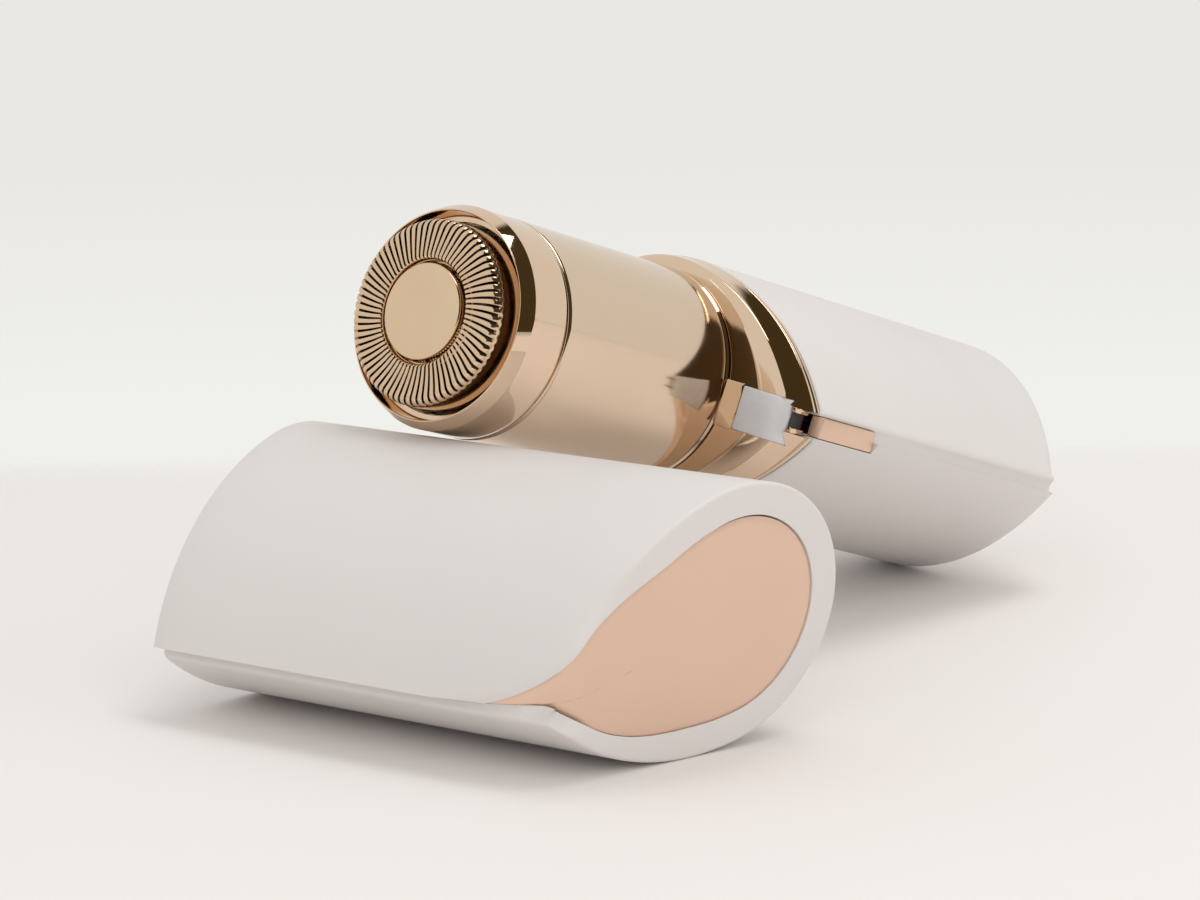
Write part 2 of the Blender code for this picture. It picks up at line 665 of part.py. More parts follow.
def make_cutter():
    """Blades stand on a ring: every other pair of its front faces is pushed out to the foil."""
    outer = FOIL_RADIUS - FOIL_SHEET - FIT_GAP * 2
    inner = outer - BLADE_LENGTH
    shape = bmesh.new()
    steps = BLADE_COUNT * 4
    rings = []
    for i in range(steps):
        early = 1 - BLADE_SHARE if i % 4 == 1 else 0
        angle = 2 * math.pi * (i - early) / steps
        rings.append([shape.verts.new((r * math.cos(angle), r * math.sin(angle), z))
                      for r, z in ((inner, BLADE_ROOT), (outer, BLADE_ROOT),
                                   (outer, RING_BACK), (inner, RING_BACK))])
    fronts = []
    for i in range(steps):
        here, there = rings[i], rings[(i + 1) % steps]
        for j in range(4):
            face = shape.faces.new((here[j], here[(j + 1) % 4], there[(j + 1) % 4], there[j]))
            if j == 0 and i % 4 == 0:
                fronts.append(face)
    bmesh.ops.recalc_face_normals(shape, faces=shape.faces)
    pushed = bmesh.ops.extrude_discrete_faces(shape, faces=fronts)["faces"]
    raised = {vert for face in pushed for vert in face.verts}
    for vert in raised:
        vert.co.z = BLADE_TOP
    place("blade_ring", mesh_of("blade_ring", shape), HAND_FRAME, "steel")

    shaft_hole = SHAFT_RADIUS + FIT_GAP
    carrier = turned("blade_carrier", [
        (0, CARRIER_FRONT), (outer, CARRIER_FRONT), (outer, CARRIER_BACK),
        (SPINDLE_RADIUS, CARRIER_BACK), (SPINDLE_RADIUS, SPINDLE_BACK), (0, SPINDLE_BACK),
    ], HAND_FRAME, "dark_plastic", INNER_STEPS)
    key_room = block("key_slot_cutter",
                     (-DOG_RADIUS - FIT_GAP, -KEY_WIDTH / 2 - FIT_GAP, DOG_FRONT - KEY_LENGTH - FIT_GAP),
                     (DOG_RADIUS + FIT_GAP, KEY_WIDTH / 2 + FIT_GAP, DOG_FRONT + OVERRUN), HAND_FRAME)
    boolean(carrier, key_room)

    coil("cutter_spring", SPINDLE_RADIUS + FIT_GAP + SPRING_WIRE, SPRING_WIRE / 2,
         CUTTER_SPRING_FRONT, CUTTER_SPRING_LENGTH, CUTTER_SPRING_TURNS, HAND_FRAME, "steel")
    bore = SPINDLE_RADIUS + FIT_GAP
    turned("thrust_washer", [
        (bore, WASHER_FRONT), (bore + 3 * SPRING_WIRE, WASHER_FRONT),
        (bore + 3 * SPRING_WIRE, WASHER_BACK), (bore, WASHER_BACK),
    ], HAND_FRAME, "steel", SMALL_STEPS, closed=True)
    return shaft_hole


def make_drive(shaft_hole):
    shaft_end = CAN_BACK - FIT_GAP
    turned("motor_shaft", [
        (0, DOG_FRONT + FIT_GAP), (SHAFT_RADIUS, DOG_FRONT + FIT_GAP), (SHAFT_RADIUS, shaft_end),
        (0, shaft_end),
    ], HAND_FRAME, "steel", SMALL_STEPS)
    dog = turned("drive_dog", [
        (0, DOG_FRONT), (DOG_RADIUS, DOG_FRONT), (DOG_RADIUS, DOG_BACK), (0, DOG_BACK),
    ], HAND_FRAME, "dark_plastic", SMALL_STEPS)
    reach = DOG_RADIUS - FIT_GAP
    key = block("drive_key", (-reach, -KEY_WIDTH / 2, DOG_FRONT - KEY_LENGTH),
                (reach, KEY_WIDTH / 2, DOG_FRONT + KEY_WIDTH / 2), HAND_FRAME)
    boolean(dog, key, "UNION")
    bore = rod("dog_bore_cutter", shaft_hole, (0, 0, DOG_FRONT), (0, 0, DOG_BACK + OVERRUN), HAND_FRAME)
    boolean(dog, bore)

    wall = BARREL_INNER - FIT_GAP
    boss_hole = MOTOR_BOSS_RADIUS + FIT_GAP
    turned("motor_mount", [
        (wall, MOUNT_FRONT), (wall, MOUNT_BACK + MOUNT_THICKNESS),
        (MOTOR_RADIUS + FIT_GAP, MOUNT_BACK + MOUNT_THICKNESS), (MOTOR_RADIUS + FIT_GAP, MOUNT_BACK),
        (boss_hole, MOUNT_BACK), (boss_hole, MOUNT_FRONT),
    ], HAND_FRAME, "inner_plastic", INNER_STEPS, closed=True)
    chamfer = FIT_GAP * 2
    can_inner = MOTOR_RADIUS - CAN_WALL
    turned("motor_can", [
        (shaft_hole, MOUNT_FRONT), (MOTOR_BOSS_RADIUS, MOUNT_FRONT), (MOTOR_BOSS_RADIUS, CAN_FRONT),
        (MOTOR_RADIUS - chamfer, CAN_FRONT), (MOTOR_RADIUS, CAN_FRONT + chamfer),
        (MOTOR_RADIUS, CAN_BACK), (can_inner, CAN_BACK), (can_inner, CAN_FRONT + CAN_WALL),
        (shaft_hole, CAN_FRONT + CAN_WALL),
    ], HAND_FRAME, "steel", INNER_STEPS, closed=True)
    magnet_outer = can_inner - FIT_GAP
    magnet_inner = magnet_outer - MAGNET_THICKNESS
    magnet_front, magnet_back = CAN_FRONT + CAN_WALL * 2, CAN_BACK - CAN_WALL
    turned("motor_magnet", [
        (magnet_inner, magnet_front), (magnet_outer, magnet_front), (magnet_outer, magnet_back),
        (magnet_inner, magnet_back),
    ], HAND_FRAME, "rubber", INNER_STEPS, closed=True)
    core = magnet_inner - FIT_GAP
    waist = (core + shaft_hole) / 2
    turned("motor_armature", [
        (shaft_hole, magnet_front), (waist, magnet_front), (core, magnet_front + CAN_WALL * 2),
        (core, magnet_back - CAN_WALL * 2), (waist, magnet_back - CAN_WALL),
        (shaft_hole, magnet_back - CAN_WALL),
    ], HAND_FRAME, "copper", INNER_STEPS, closed=True)
    damper = MOTOR_LENGTH / 2 - DAMPER_LENGTH / 2
    turned("motor_damper", [
        (MOTOR_RADIUS + FIT_GAP, CAN_FRONT + damper), (wall, CAN_FRONT + damper),
        (wall, CAN_FRONT + damper + DAMPER_LENGTH),
        (MOTOR_RADIUS + FIT_GAP, CAN_FRONT + damper + DAMPER_LENGTH),
    ], HAND_FRAME, "rubber", INNER_STEPS, closed=True)
    turned("motor_end_cap", [
        (0, END_CAP_FRONT), (MOTOR_RADIUS - chamfer, END_CAP_FRONT),
        (MOTOR_RADIUS - chamfer, END_CAP_BACK), (0, END_CAP_BACK),
    ], HAND_FRAME, "dark_plastic", INNER_STEPS)


def make_barrel():
    lip = BARREL_LIP
    turned("barrel", [
        (BARREL_RADIUS - lip, BARREL_FRONT), (BARREL_RADIUS, BARREL_FRONT + lip),
        (BARREL_RADIUS, BARREL_BACK - lip), (BARREL_RADIUS - lip, BARREL_BACK),
        (BARREL_INNER, BARREL_BACK), (BARREL_INNER, BARREL_FRONT),
    ], HAND_FRAME, "rose_gold", closed=True)


def polar_outline(count):
    """The section's radius at equal steps of angle, with one step on the tip."""
    outline = teardrop()
    spots = []
    for i in range(count):
        angle = 2 * math.pi * i / count
        ray = Vector((math.cos(angle), math.sin(angle)))
        reach = ROUND_RADIUS
        for (ax, ay), (bx, by) in zip(outline, outline[1:] + outline[:1]):
            edge = Vector((bx - ax, by - ay))
            turn = ray.cross(edge)
            if abs(turn) < MERGE * MERGE:
                continue
            along = Vector((ax, ay)).cross(edge) / turn
            share = Vector((ax, ay)).cross(ray) / turn
            if along > 0 and -MERGE <= share <= 1 + MERGE:
                reach = along
        spots.append((angle, reach))
    return spots


def make_collar():
    """Loft from the round neck to the teardrop rim: a flat shoulder, a slope and a flared rim."""
    spots = polar_outline(COLLAR_STEPS)

    def ring(share, station, inset=0, base=BARREL_RADIUS):
        reaches = [(angle, base + share * (reach - inset - base)) for angle, reach in spots]
        return [(reach * math.cos(angle), reach * math.sin(angle), station) for angle, reach in reaches]

    depth = COLLAR_DEPTH
    profile_shares = [
        (0, 0.06), (0.48, 0.065), (0.62, 0.12), (0.77, 0.22), (0.8, 0.34), (0.87, 0.62), (0.94, 0.87),
        (0.96, 0.89), (0.975, 0.94), (0.975, 1),
    ]
    rings = [ring(0, COLLAR_FRONT - NECK_LENGTH, base=NECK_OUTER), ring(0, COLLAR_FRONT, base=NECK_OUTER)]
    rings += [ring(across, COLLAR_FRONT + depth * back) for across, back in profile_shares]
    rings += [ring(1, COLLAR_BACK, HOUSING_WALL + FIT_GAP), ring(1, SKIRT_BACK, HOUSING_WALL + FIT_GAP)]
    skirt_inner = HOUSING_WALL + FIT_GAP + SKIRT_WALL
    rings += [ring(1, SKIRT_BACK, skirt_inner), ring(1, COLLAR_BACK, skirt_inner)]
    rings += [ring(0, COLLAR_BACK, base=NECK_INNER), ring(0, COLLAR_FRONT - NECK_LENGTH, base=NECK_INNER)]
    collar = loft("shoulder_collar", rings, HAND_FRAME, "rose_gold")

    lens_front = BARREL_RADIUS + LENS_START
    lens_end = lens_front + LENS_RUN
    half = LENS_WIDTH / 2
    boss = block("lens_boss", (BARREL_RADIUS + FIT_GAP, LENS_SHIFT - half - FIT_GAP, COLLAR_FRONT),
                 (lens_front + FIT_GAP, LENS_SHIFT + half + FIT_GAP, COLLAR_BACK - FIT_GAP), HAND_FRAME)
    boolean(collar, boss, "UNION")
    window = block("lens_window_cutter",
                   (lens_front - FIT_GAP, LENS_SHIFT - half - FIT_GAP, COLLAR_FRONT - OVERRUN),
                   (lens_end + FIT_GAP, LENS_SHIFT + half + FIT_GAP, COLLAR_BACK + OVERRUN), HAND_FRAME)
    slot_half = BAR_WIDTH / 2 + FIT_GAP
    bar_way = block("bar_slot_cutter", (BAR_LOW - FIT_GAP, -slot_half, COLLAR_FRONT - OVERRUN),
                    (TIP_REACH + OVERRUN, slot_half, SKIRT_BACK + OVERRUN), HAND_FRAME)
    boolean(collar, window)
    boolean(collar, bar_way)

    lens_outline = [
        (lens_front, COLLAR_FRONT), (lens_end, COLLAR_FRONT + LENS_RISE),
        (lens_end, COLLAR_BACK), (lens_front, COLLAR_BACK),
    ]
    shape = bmesh.new()
    base = shape.faces.new([shape.verts.new((x, LENS_SHIFT - half, z)) for x, z in lens_outline])
    grown = bmesh.ops.extrude_face_region(shape, geom=[base])["geom"]
    for vert in grown:
        if isinstance(vert, bmesh.types.BMVert):
            vert.co.y = LENS_SHIFT + half
    place("light_lens", mesh_of("light_lens", shape), HAND_FRAME, "lens_grey")


def make_housing():
    far = slope(HOUSING_BACK, FAR_SLOPE_X_SHARE, FAR_SLOPE_Y_SHARE)
    inner_far = slope(HOUSING_BACK - HOUSING_FLOOR, FAR_SLOPE_X_SHARE, FAR_SLOPE_Y_SHARE)
    sleeve = rounded_prism("housing_sleeve", level(HOUSING_FRONT), far, HOUSING_EDGE_ROUND, HAND_FRAME,
                           "shell_white")
    hollow = prism("housing_hollow_cutter", teardrop(HOUSING_WALL), level(HOUSING_FRONT - OVERRUN),
                   inner_far, HAND_FRAME)
    groove = wrap_groove("housing_groove_cutter", HAND_FRAME, HOUSING_FRONT - OVERRUN,
                         HOUSING_BACK + OVERRUN)
    slot_half = BAR_WIDTH / 2 + FIT_GAP
    notch = block("bar_notch_cutter", (BAR_LOW - STEM_WIDTH, -slot_half, HOUSING_FRONT - OVERRUN),
                  (TIP_REACH + OVERRUN, slot_half, BAR_BACK + FIT_GAP), HAND_FRAME)
    for cutter in (hollow, groove, notch):
        boolean(sleeve, cutter)


def make_switch():
    half = BAR_WIDTH / 2
    bar_outline = [(-half, BAR_FRONT), (half, BAR_FRONT)]
    for i in range(7):
        angle = math.pi * i / 6
        bar_outline.append((half * math.cos(angle), BAR_BACK - half + half * math.sin(angle)))
    shape = bmesh.new()
    base = shape.faces.new([shape.verts.new((BAR_LOW, y, z)) for y, z in bar_outline])
    grown = bmesh.ops.extrude_face_region(shape, geom=[base])["geom"]
    for vert in grown:
        if isinstance(vert, bmesh.types.BMVert):
            vert.co.x = BAR_TOP
    bar = place("switch_bar", mesh_of("switch_bar", shape), HAND_FRAME, "satin_rose")
    stem = block("switch_stem", (SWITCH_TOP + FIT_GAP, -STEM_WIDTH / 2, STEM_FRONT),
                 (BAR_LOW + BAR_HEIGHT / 2, STEM_WIDTH / 2, STEM_BACK), HAND_FRAME)
    boolean(bar, stem, "UNION")

    wide = SWITCH_BODY_WIDTH / 2
    block("slide_switch", (SWITCH_LOW, -wide, SWITCH_FRONT), (SWITCH_TOP, wide, SWITCH_BACK),
          HAND_FRAME, "dark_plastic")


def make_board():
    half = BOARD_WIDTH / 2
    board = block("circuit_board", (BOARD_LOW, -half, BOARD_FRONT), (BOARD_TOP, half, BOARD_BACK),
                  HAND_FRAME, "board_green")
    first = SWITCH_BACK + SCREW_HEAD_RADIUS * 2
    last = BOARD_BACK - SCREW_HEAD_RADIUS * SCREW_EDGE_SHARE
    hole = SCREW_RADIUS + FIT_GAP
    tail = BATTERY_RADIUS + FIT_GAP * 2
    screws = []
    for name, station in (("board_screw_front", first), ("board_screw_rear", last)):
        way = rod(name + "_cutter", hole, (tail - FIT_GAP, 0, station), (BOARD_TOP + OVERRUN, 0, station),
                  HAND_FRAME, steps=12)
        boolean(board, way)
        screws.append(way)
        shank = rod(name, SCREW_RADIUS, (tail, 0, station), (BOARD_TOP + FIT_GAP * 2, 0, station),
                    HAND_FRAME, "steel", steps=12)
        head = rod(name + "_head", SCREW_HEAD_RADIUS, (BOARD_TOP + FIT_GAP, 0, station),
                   (BOARD_TOP + FIT_GAP + SCREW_HEAD, 0, station), HAND_FRAME, steps=16)
        boolean(shank, head, "UNION")

    lamp_place = SWITCH_TOP + FIT_GAP + LAMP_RADIUS
    lamp_front = COLLAR_BACK + FIT_GAP
    lamp = rod("light_led", LAMP_RADIUS, (lamp_place, 0, lamp_front),
               (lamp_place, 0, lamp_front + LAMP_LENGTH), HAND_FRAME, "lens_grey", steps=16)
    legs = block("lamp_legs", (BOARD_TOP + FIT_GAP, -LAMP_LEG, lamp_front + LAMP_LEG),
                 (lamp_place, LAMP_LEG, lamp_front + LAMP_LEG * 2), HAND_FRAME)
    boolean(lamp, legs, "UNION")
    return screws


def make_chassis(screw_ways):
    window = (BATTERY_FRONT - FIT_GAP * 2, CONTACT_SPRING_FRONT + CONTACT_SPRING_LENGTH / 2)
    tray = turned("chassis", [
        (0, CHASSIS_FRONT), (CHASSIS_OUTER, CHASSIS_FRONT), (CHASSIS_OUTER, CHASSIS_BACK),
        (0, CHASSIS_BACK),
    ], HAND_FRAME, "inner_plastic", INNER_STEPS)
    bay = rod("battery_bay_cutter", CHASSIS_INNER, (0, 0, CHASSIS_FRONT + BULKHEAD),
              (0, 0, CHASSIS_WALL_FRONT), HAND_FRAME, steps=INNER_STEPS)
    opening = block("battery_window_cutter",
                    (-CHASSIS_OUTER - OVERRUN, -CHASSIS_INNER + CHASSIS_WALL, window[0]),
                    (0, CHASSIS_INNER - CHASSIS_WALL, window[1]), HAND_FRAME)
    boolean(tray, bay)
    boolean(tray, opening)
    for way in screw_ways:
        boolean(tray, way)

    bevel = FIT_GAP * 2
    turned("battery", [
        (0, NUB_FRONT), (NUB_RADIUS, NUB_FRONT), (NUB_RADIUS, BATTERY_FRONT),
        (BATTERY_RADIUS - bevel, BATTERY_FRONT), (BATTERY_RADIUS, BATTERY_FRONT + bevel),
        (BATTERY_RADIUS, BATTERY_BACK - bevel), (BATTERY_RADIUS - bevel, BATTERY_BACK),
        (0, BATTERY_BACK),
    ], HAND_FRAME, "cell_jacket", INNER_STEPS)
    plate = NUB_RADIUS + CHASSIS_WALL
    turned("contact_plate", [
        (0, PLATE_FRONT), (plate, PLATE_FRONT), (plate, PLATE_FRONT + CONTACT_PLATE),
        (0, PLATE_FRONT + CONTACT_PLATE),
    ], HAND_FRAME, "brass", SMALL_STEPS)
    coil("contact_spring", CONTACT_SPRING_RADIUS * CONTACT_SPRING_TOP_SHARE, SPRING_WIRE / 2,
         CONTACT_SPRING_FRONT, CONTACT_SPRING_LENGTH, CONTACT_SPRING_TURNS, HAND_FRAME, "steel",
         CONTACT_SPRING_RADIUS)

    reach = CHASSIS_OUTER + FIT_GAP + LEAD_RADIUS
    angle = math.radians(LEAD_DEGREES)
    for name, side in (("lead_red", 1), ("lead_black", -1)):
        x, y = reach * math.cos(angle), side * reach * math.sin(angle)
        back = BATTERY_BACK
        front = BOARD_BACK + 4 * LEAD_RADIUS
        bend = front + 4 * LEAD_RADIUS
        end_y = side * (BOARD_WIDTH / 2 - LEAD_RADIUS)
        end_x = BOARD_LOW + BOARD_THICKNESS / 2
        points = [(x, y, back), (x, y, (back + bend) / 2), (x, y, bend),
                  ((x + end_x) / 2 + LEAD_RADIUS, (y + end_y) / 2, (bend + front) / 2),
                  (end_x + LEAD_RADIUS, end_y, front), (end_x + LEAD_RADIUS, end_y, BOARD_BACK + FIT_GAP)]
        wire(name, points, LEAD_RADIUS, HAND_FRAME, name)


def frame_axes(tip, axis):
    """Rotation whose x is the tip's way and whose z is the axis."""
    x, z = Vector(tip).normalized(), Vector(axis).normalized()
    return Matrix((x, z.cross(x), z)).transposed()


def lay_cap():
    roll = math.radians(CAP_ROLL_DEGREES)
    axes = frame_axes((0, math.cos(roll), math.sin(roll)), (-1, 0, 0))
    height = -min((axes @ Vector((x, y, 0))).z for x, y in teardrop())
    CAP_FRAME.matrix_world = Matrix.Translation((0, 0, height)) @ axes.to_4x4()
    return height


def hand_matrix(lean, cap_height):
    """Frame of the hand unit when its barrel rests on the cap at the given lean."""
    toward_head = Vector((0, -math.cos(lean), math.sin(lean)))
    up = toward_head.cross(Vector((1, 0, 0)))
    roll = math.radians(HAND_ROLL_DEGREES)
    axes = frame_axes(math.cos(roll) * Vector((1, 0, 0)) + math.sin(roll) * up, -toward_head)
    apart = ROUND_RADIUS + FIT_GAP + BARREL_RADIUS
    foot = Vector((-HAND_PLACE, apart * math.sin(lean), cap_height + apart * math.cos(lean)))
    return Matrix.Translation(foot + CONTACT_BACK * toward_head) @ axes.to_4x4()


def lay_hand(cap_height):
    """Lean the hand unit until the lowest edge of the housing touches the table."""
    sleeve = bpy.data.objects["housing_sleeve"]
    bpy.context.view_layer.update()
    mesh = sleeve.evaluated_get(bpy.context.evaluated_depsgraph_get()).to_mesh()
    spots = [vert.co.copy() for vert in mesh.vertices]
    lean = math.radians(17)
    for _ in range(40):
        matrix = hand_matrix(lean, cap_height)
        lowest = min((matrix @ spot).z for spot in spots)
        lean += lowest / HOUSING_BACK
    HAND_FRAME.matrix_world = hand_matrix(lean, cap_height)


def centre_on_table():
    """Move both frames so that the middle of the base of the whole object is the origin."""
    bpy.context.view_layer.update()
    depsgraph = bpy.context.evaluated_depsgraph_get()
    corners = []
    for item in PARTS.objects:
        if item.type == "EMPTY":
            continue
        shown = item.evaluated_get(depsgraph)
        mesh = shown.to_mesh()
        corners += [shown.matrix_world @ vert.co for vert in mesh.vertices]
        shown.to_mesh_clear()
    lows = [min(corner[i] for corner in corners) for i in range(3)]
    highs = [max(corner[i] for corner in corners) for i in range(3)]
    shift = Vector((-(lows[0] + highs[0]) / 2, -(lows[1] + highs[1]) / 2, -lows[2]))
    for frame in (CAP_FRAME, HAND_FRAME):
        frame.matrix_world = Matrix.Translation(shift) @ frame.matrix_world
    bpy.context.view_layer.update()


def main():
    make_cap()
    make_head()
    make_foil()
    shaft_hole = make_cutter()
    make_drive(shaft_hole)
    make_barrel()
    make_collar()
    make_housing()
    make_switch()
    screw_ways = make_board()
    make_chassis(screw_ways)
    cap_height = lay_cap()
    lay_hand(cap_height)
    centre_on_table()


main()
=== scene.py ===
import math
import bmesh
import bpy
from mathutils import Matrix, Vector


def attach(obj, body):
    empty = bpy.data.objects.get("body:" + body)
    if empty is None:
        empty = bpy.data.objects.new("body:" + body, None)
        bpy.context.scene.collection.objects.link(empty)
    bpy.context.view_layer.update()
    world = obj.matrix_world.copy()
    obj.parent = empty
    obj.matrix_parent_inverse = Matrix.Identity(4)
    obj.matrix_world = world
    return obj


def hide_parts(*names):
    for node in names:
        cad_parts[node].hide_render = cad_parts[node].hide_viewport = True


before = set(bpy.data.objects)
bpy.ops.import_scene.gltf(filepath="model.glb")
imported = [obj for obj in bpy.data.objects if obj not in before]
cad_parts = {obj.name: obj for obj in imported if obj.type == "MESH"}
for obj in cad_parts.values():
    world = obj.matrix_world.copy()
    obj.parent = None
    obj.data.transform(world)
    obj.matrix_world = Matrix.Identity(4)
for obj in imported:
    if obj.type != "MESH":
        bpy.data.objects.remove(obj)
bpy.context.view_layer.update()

print("frame loaded:", len(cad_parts), "nodes")

# where the two halves lie: tip way, overlap way and axis away from the viewer's end
handPlace = {
    "origin": (-0.013404, -0.036073, 0.039474),
    "tip": (0.989272, -0.044226, -0.139227),
    "overlap": (-0.146083, -0.299500, -0.942847),
    "axis": (0, 0.953071, -0.302747),
}
capPlace = {
    "origin": (0.026396, -0.037161, 0.013589),
    "tip": (0, -0.960779, -0.277314),
    "overlap": (0, -0.277314, 0.960779),
    "axis": (-1, 0, 0),
}


def placeMatrix(spot):
    columns = Matrix((spot["tip"], spot["overlap"], spot["axis"])).transposed()
    return Matrix.Translation(spot["origin"]) @ columns.to_4x4()


handMatrix = placeMatrix(handPlace)
capMatrix = placeMatrix(capPlace)

# the teardrop section that both shells share
section = {"round": 0.0132, "tip": 0.0226, "side": 0.0269, "wall": 0.0014, "cutPast": 0.004}


def clearAll():
    if bpy.context.mode != "OBJECT":
        bpy.ops.object.mode_set(mode="OBJECT")
    bpy.ops.object.select_all(action="DESELECT")


def editMesh(piece):
    bpy.ops.object.mode_set(mode="EDIT")
    shape = bmesh.from_edit_mesh(piece.data)
    shape.verts.ensure_lookup_table()
    shape.edges.ensure_lookup_table()
    shape.faces.ensure_lookup_table()
    return shape


def newPiece(name):
    piece = bpy.context.active_object
    piece.name = name
    piece.data.name = name
    return piece


def closeMesh(threshold=0.000002):
    # in edit mode: join seams and poles, then turn the faces outward
    bpy.ops.mesh.select_all(action="SELECT")
    bpy.ops.mesh.remove_doubles(threshold=threshold)
    bpy.ops.mesh.dissolve_degenerate(threshold=threshold / 4)
    bpy.ops.mesh.select_all(action="SELECT")
    bpy.ops.mesh.normals_make_consistent(inside=False)
    bpy.ops.object.mode_set(mode="OBJECT")


def settle(piece, matrix):
    # put the piece in place in its half's frame, with the place in the mesh
    clearAll()
    piece.select_set(True)
    bpy.context.view_layer.objects.active = piece
    piece.matrix_world = matrix
    bpy.ops.object.transform_apply(location=True, rotation=True, scale=True)


def applyModifiers(piece):
    clearAll()
    piece.select_set(True)
    bpy.context.view_layer.objects.active = piece
    for step in list(piece.modifiers):
        bpy.ops.object.modifier_apply(modifier=step.name)


def cutWith(piece, cutter, operation="DIFFERENCE"):
    step = piece.modifiers.new(cutter.name, "BOOLEAN")
    step.operation = operation
    step.solver = "EXACT"
    step.object = cutter
    applyModifiers(piece)
    bpy.data.objects.remove(cutter, do_unlink=True)


def dress(piece, material, body, nodes=(), smooth=35):
    clearAll()
    piece.select_set(True)
    bpy.context.view_layer.objects.active = piece
    bpy.ops.object.shade_smooth_by_angle(angle=math.radians(smooth))
    piece.data.materials.clear()
    piece.data.materials.append(material)
    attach(piece, body)
    if nodes:
        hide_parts(*nodes)
    print("made", piece.name, len(piece.data.polygons), "faces")
    return piece


def wrapGrid(name, columns, rows, spotAt):
    # a flat grid bent into a closed form: across it runs round the piece, up it along its profile
    clearAll()
    bpy.ops.mesh.primitive_grid_add(x_subdivisions=columns, y_subdivisions=rows, size=1)
    piece = newPiece(name)
    shape = editMesh(piece)
    for vert in shape.verts:
        vert.co = spotAt(round((vert.co.x + 0.5) * columns), round((vert.co.y + 0.5) * rows))
    bmesh.update_edit_mesh(piece.data)
    closeMesh()
    return piece


def roundCorners(points, closed):
    # points are (radius, station, rounding); each rounding is an arc of a few points
    run = []
    count = len(points)
    for i, (radius, station, rounding) in enumerate(points):
        here = Vector((radius, station))
        inner = closed or 0 < i < count - 1
        if not rounding or not inner:
            run.append(here)
            continue
        back = Vector(points[i - 1][:2]) - here
        ahead = Vector(points[(i + 1) % count][:2]) - here
        angle = back.angle(ahead)
        reach = min(rounding / math.tan(angle / 2), back.length * 0.49, ahead.length * 0.49)
        start, end = here + back.normalized() * reach, here + ahead.normalized() * reach
        steps = 6 if angle < 2.4 else 3
        for k in range(steps + 1):
            t = k / steps
            run.append(start * (1 - t) ** 2 + here * 2 * t * (1 - t) + end * t ** 2)
    return run


def spinPiece(name, points, matrix, steps=128, closed=False):
    # a circle of the profile's points, pulled onto the profile and spun about the axis
    run = roundCorners(points, closed)
    clearAll()
    bpy.ops.mesh.primitive_circle_add(vertices=len(run), radius=0.01)
    piece = newPiece(name)
    shape = editMesh(piece)
    for vert, spot in zip(list(shape.verts), run):
        vert.co = (spot.x, 0, spot.y)
    if not closed:
        first, last = shape.verts[0], shape.verts[len(run) - 1]
        bmesh.ops.delete(shape, geom=[shape.edges.get((first, last))], context="EDGES")
    bmesh.update_edit_mesh(piece.data)
    bpy.ops.mesh.select_all(action="SELECT")
    bpy.ops.mesh.spin(steps=steps, angle=2 * math.pi, center=(0, 0, 0), axis=(0, 0, 1))
    closeMesh()
    settle(piece, matrix)
    return piece


def boxBetween(name, low, high, rounding=0, segments=3):
    clearAll()
    middle = [(a + b) / 2 for a, b in zip(low, high)]
    bpy.ops.mesh.primitive_cube_add(size=1, location=middle,
                                    scale=[b - a for a, b in zip(low, high)])
    piece = newPiece(name)
    bpy.ops.object.transform_apply(location=True, rotation=True, scale=True)
    if rounding:
        editMesh(piece)
        bpy.ops.mesh.select_all(action="SELECT")
        bpy.ops.mesh.bevel(offset=rounding, segments=segments, profile=0.5, affect="EDGES")
        bpy.ops.object.mode_set(mode="OBJECT")
    return piece


# camera at the photograph's place
view = {"place": (0.292280, -0.375324, 0.107692), "lens": 139.3, "yaw": 39.822, "pitch": 10.257,
        "roll": 0.939}
yaw, pitch, roll = (math.radians(view[k]) for k in ("yaw", "pitch", "roll"))
level = Vector((-math.sin(yaw), math.cos(yaw), 0))
across = Vector((math.cos(yaw), math.sin(yaw), 0))
ahead = level * math.cos(pitch) - Vector((0, 0, 1)) * math.sin(pitch)
down = -level * math.sin(pitch) - Vector((0, 0, 1)) * math.cos(pitch)
imageRight = across * math.cos(roll) + down * math.sin(roll)
imageDown = down * math.cos(roll) - across * math.sin(roll)
eye = bpy.data.cameras.new("photoCamera")
eye.lens = view["lens"]
eye.sensor_width = 36
eye.clip_start = 0.01
eye.clip_end = 20
camera = bpy.data.objects.new("photoCamera", eye)
bpy.context.scene.collection.objects.link(camera)
turned = Matrix((imageRight, -imageDown, -ahead)).transposed().to_4x4()
camera.matrix_world = Matrix.Translation(view["place"]) @ turned
bpy.context.scene.camera = camera
bpy.context.scene.view_settings.view_transform = "Standard"
print("camera placed")


# shared effects
def newGroup(name, inputs, outputs):
    group = bpy.data.node_groups.new(name, "ShaderNodeTree")
    for label, kind, value in inputs:
        socket = group.interface.new_socket(label, in_out="INPUT", socket_type=kind)
        socket.default_value = value
    for label, kind in outputs:
        group.interface.new_socket(label, in_out="OUTPUT", socket_type=kind)
    return group, group.nodes.new("NodeGroupInput"), group.nodes.new("NodeGroupOutput")


def joinNodes(tree, source, target):
    tree.links.new(source, target)


def mathNode(tree, operation, first, second=None):
    node = tree.nodes.new("ShaderNodeMath")
    node.operation = operation
    for socket, value in zip(node.inputs, (first, second)):
        if value is None:
            continue
        if isinstance(value, (int, float)):
            socket.default_value = value
        else:
            tree.links.new(value, socket)
    return node.outputs[0]


def mixColours(tree, share, first, second, blend="MIX"):
    node = tree.nodes.new("ShaderNodeMix")
    node.data_type = "RGBA"
    node.blend_type = blend
    for socket, value in ((node.inputs[0], share), (node.inputs[6], first), (node.inputs[7], second)):
        if isinstance(value, (int, float)):
            socket.default_value = value
        elif isinstance(value, (tuple, list)):
            socket.default_value = (*value, 1)
        else:
            tree.links.new(value, socket)
    return node.outputs[2]


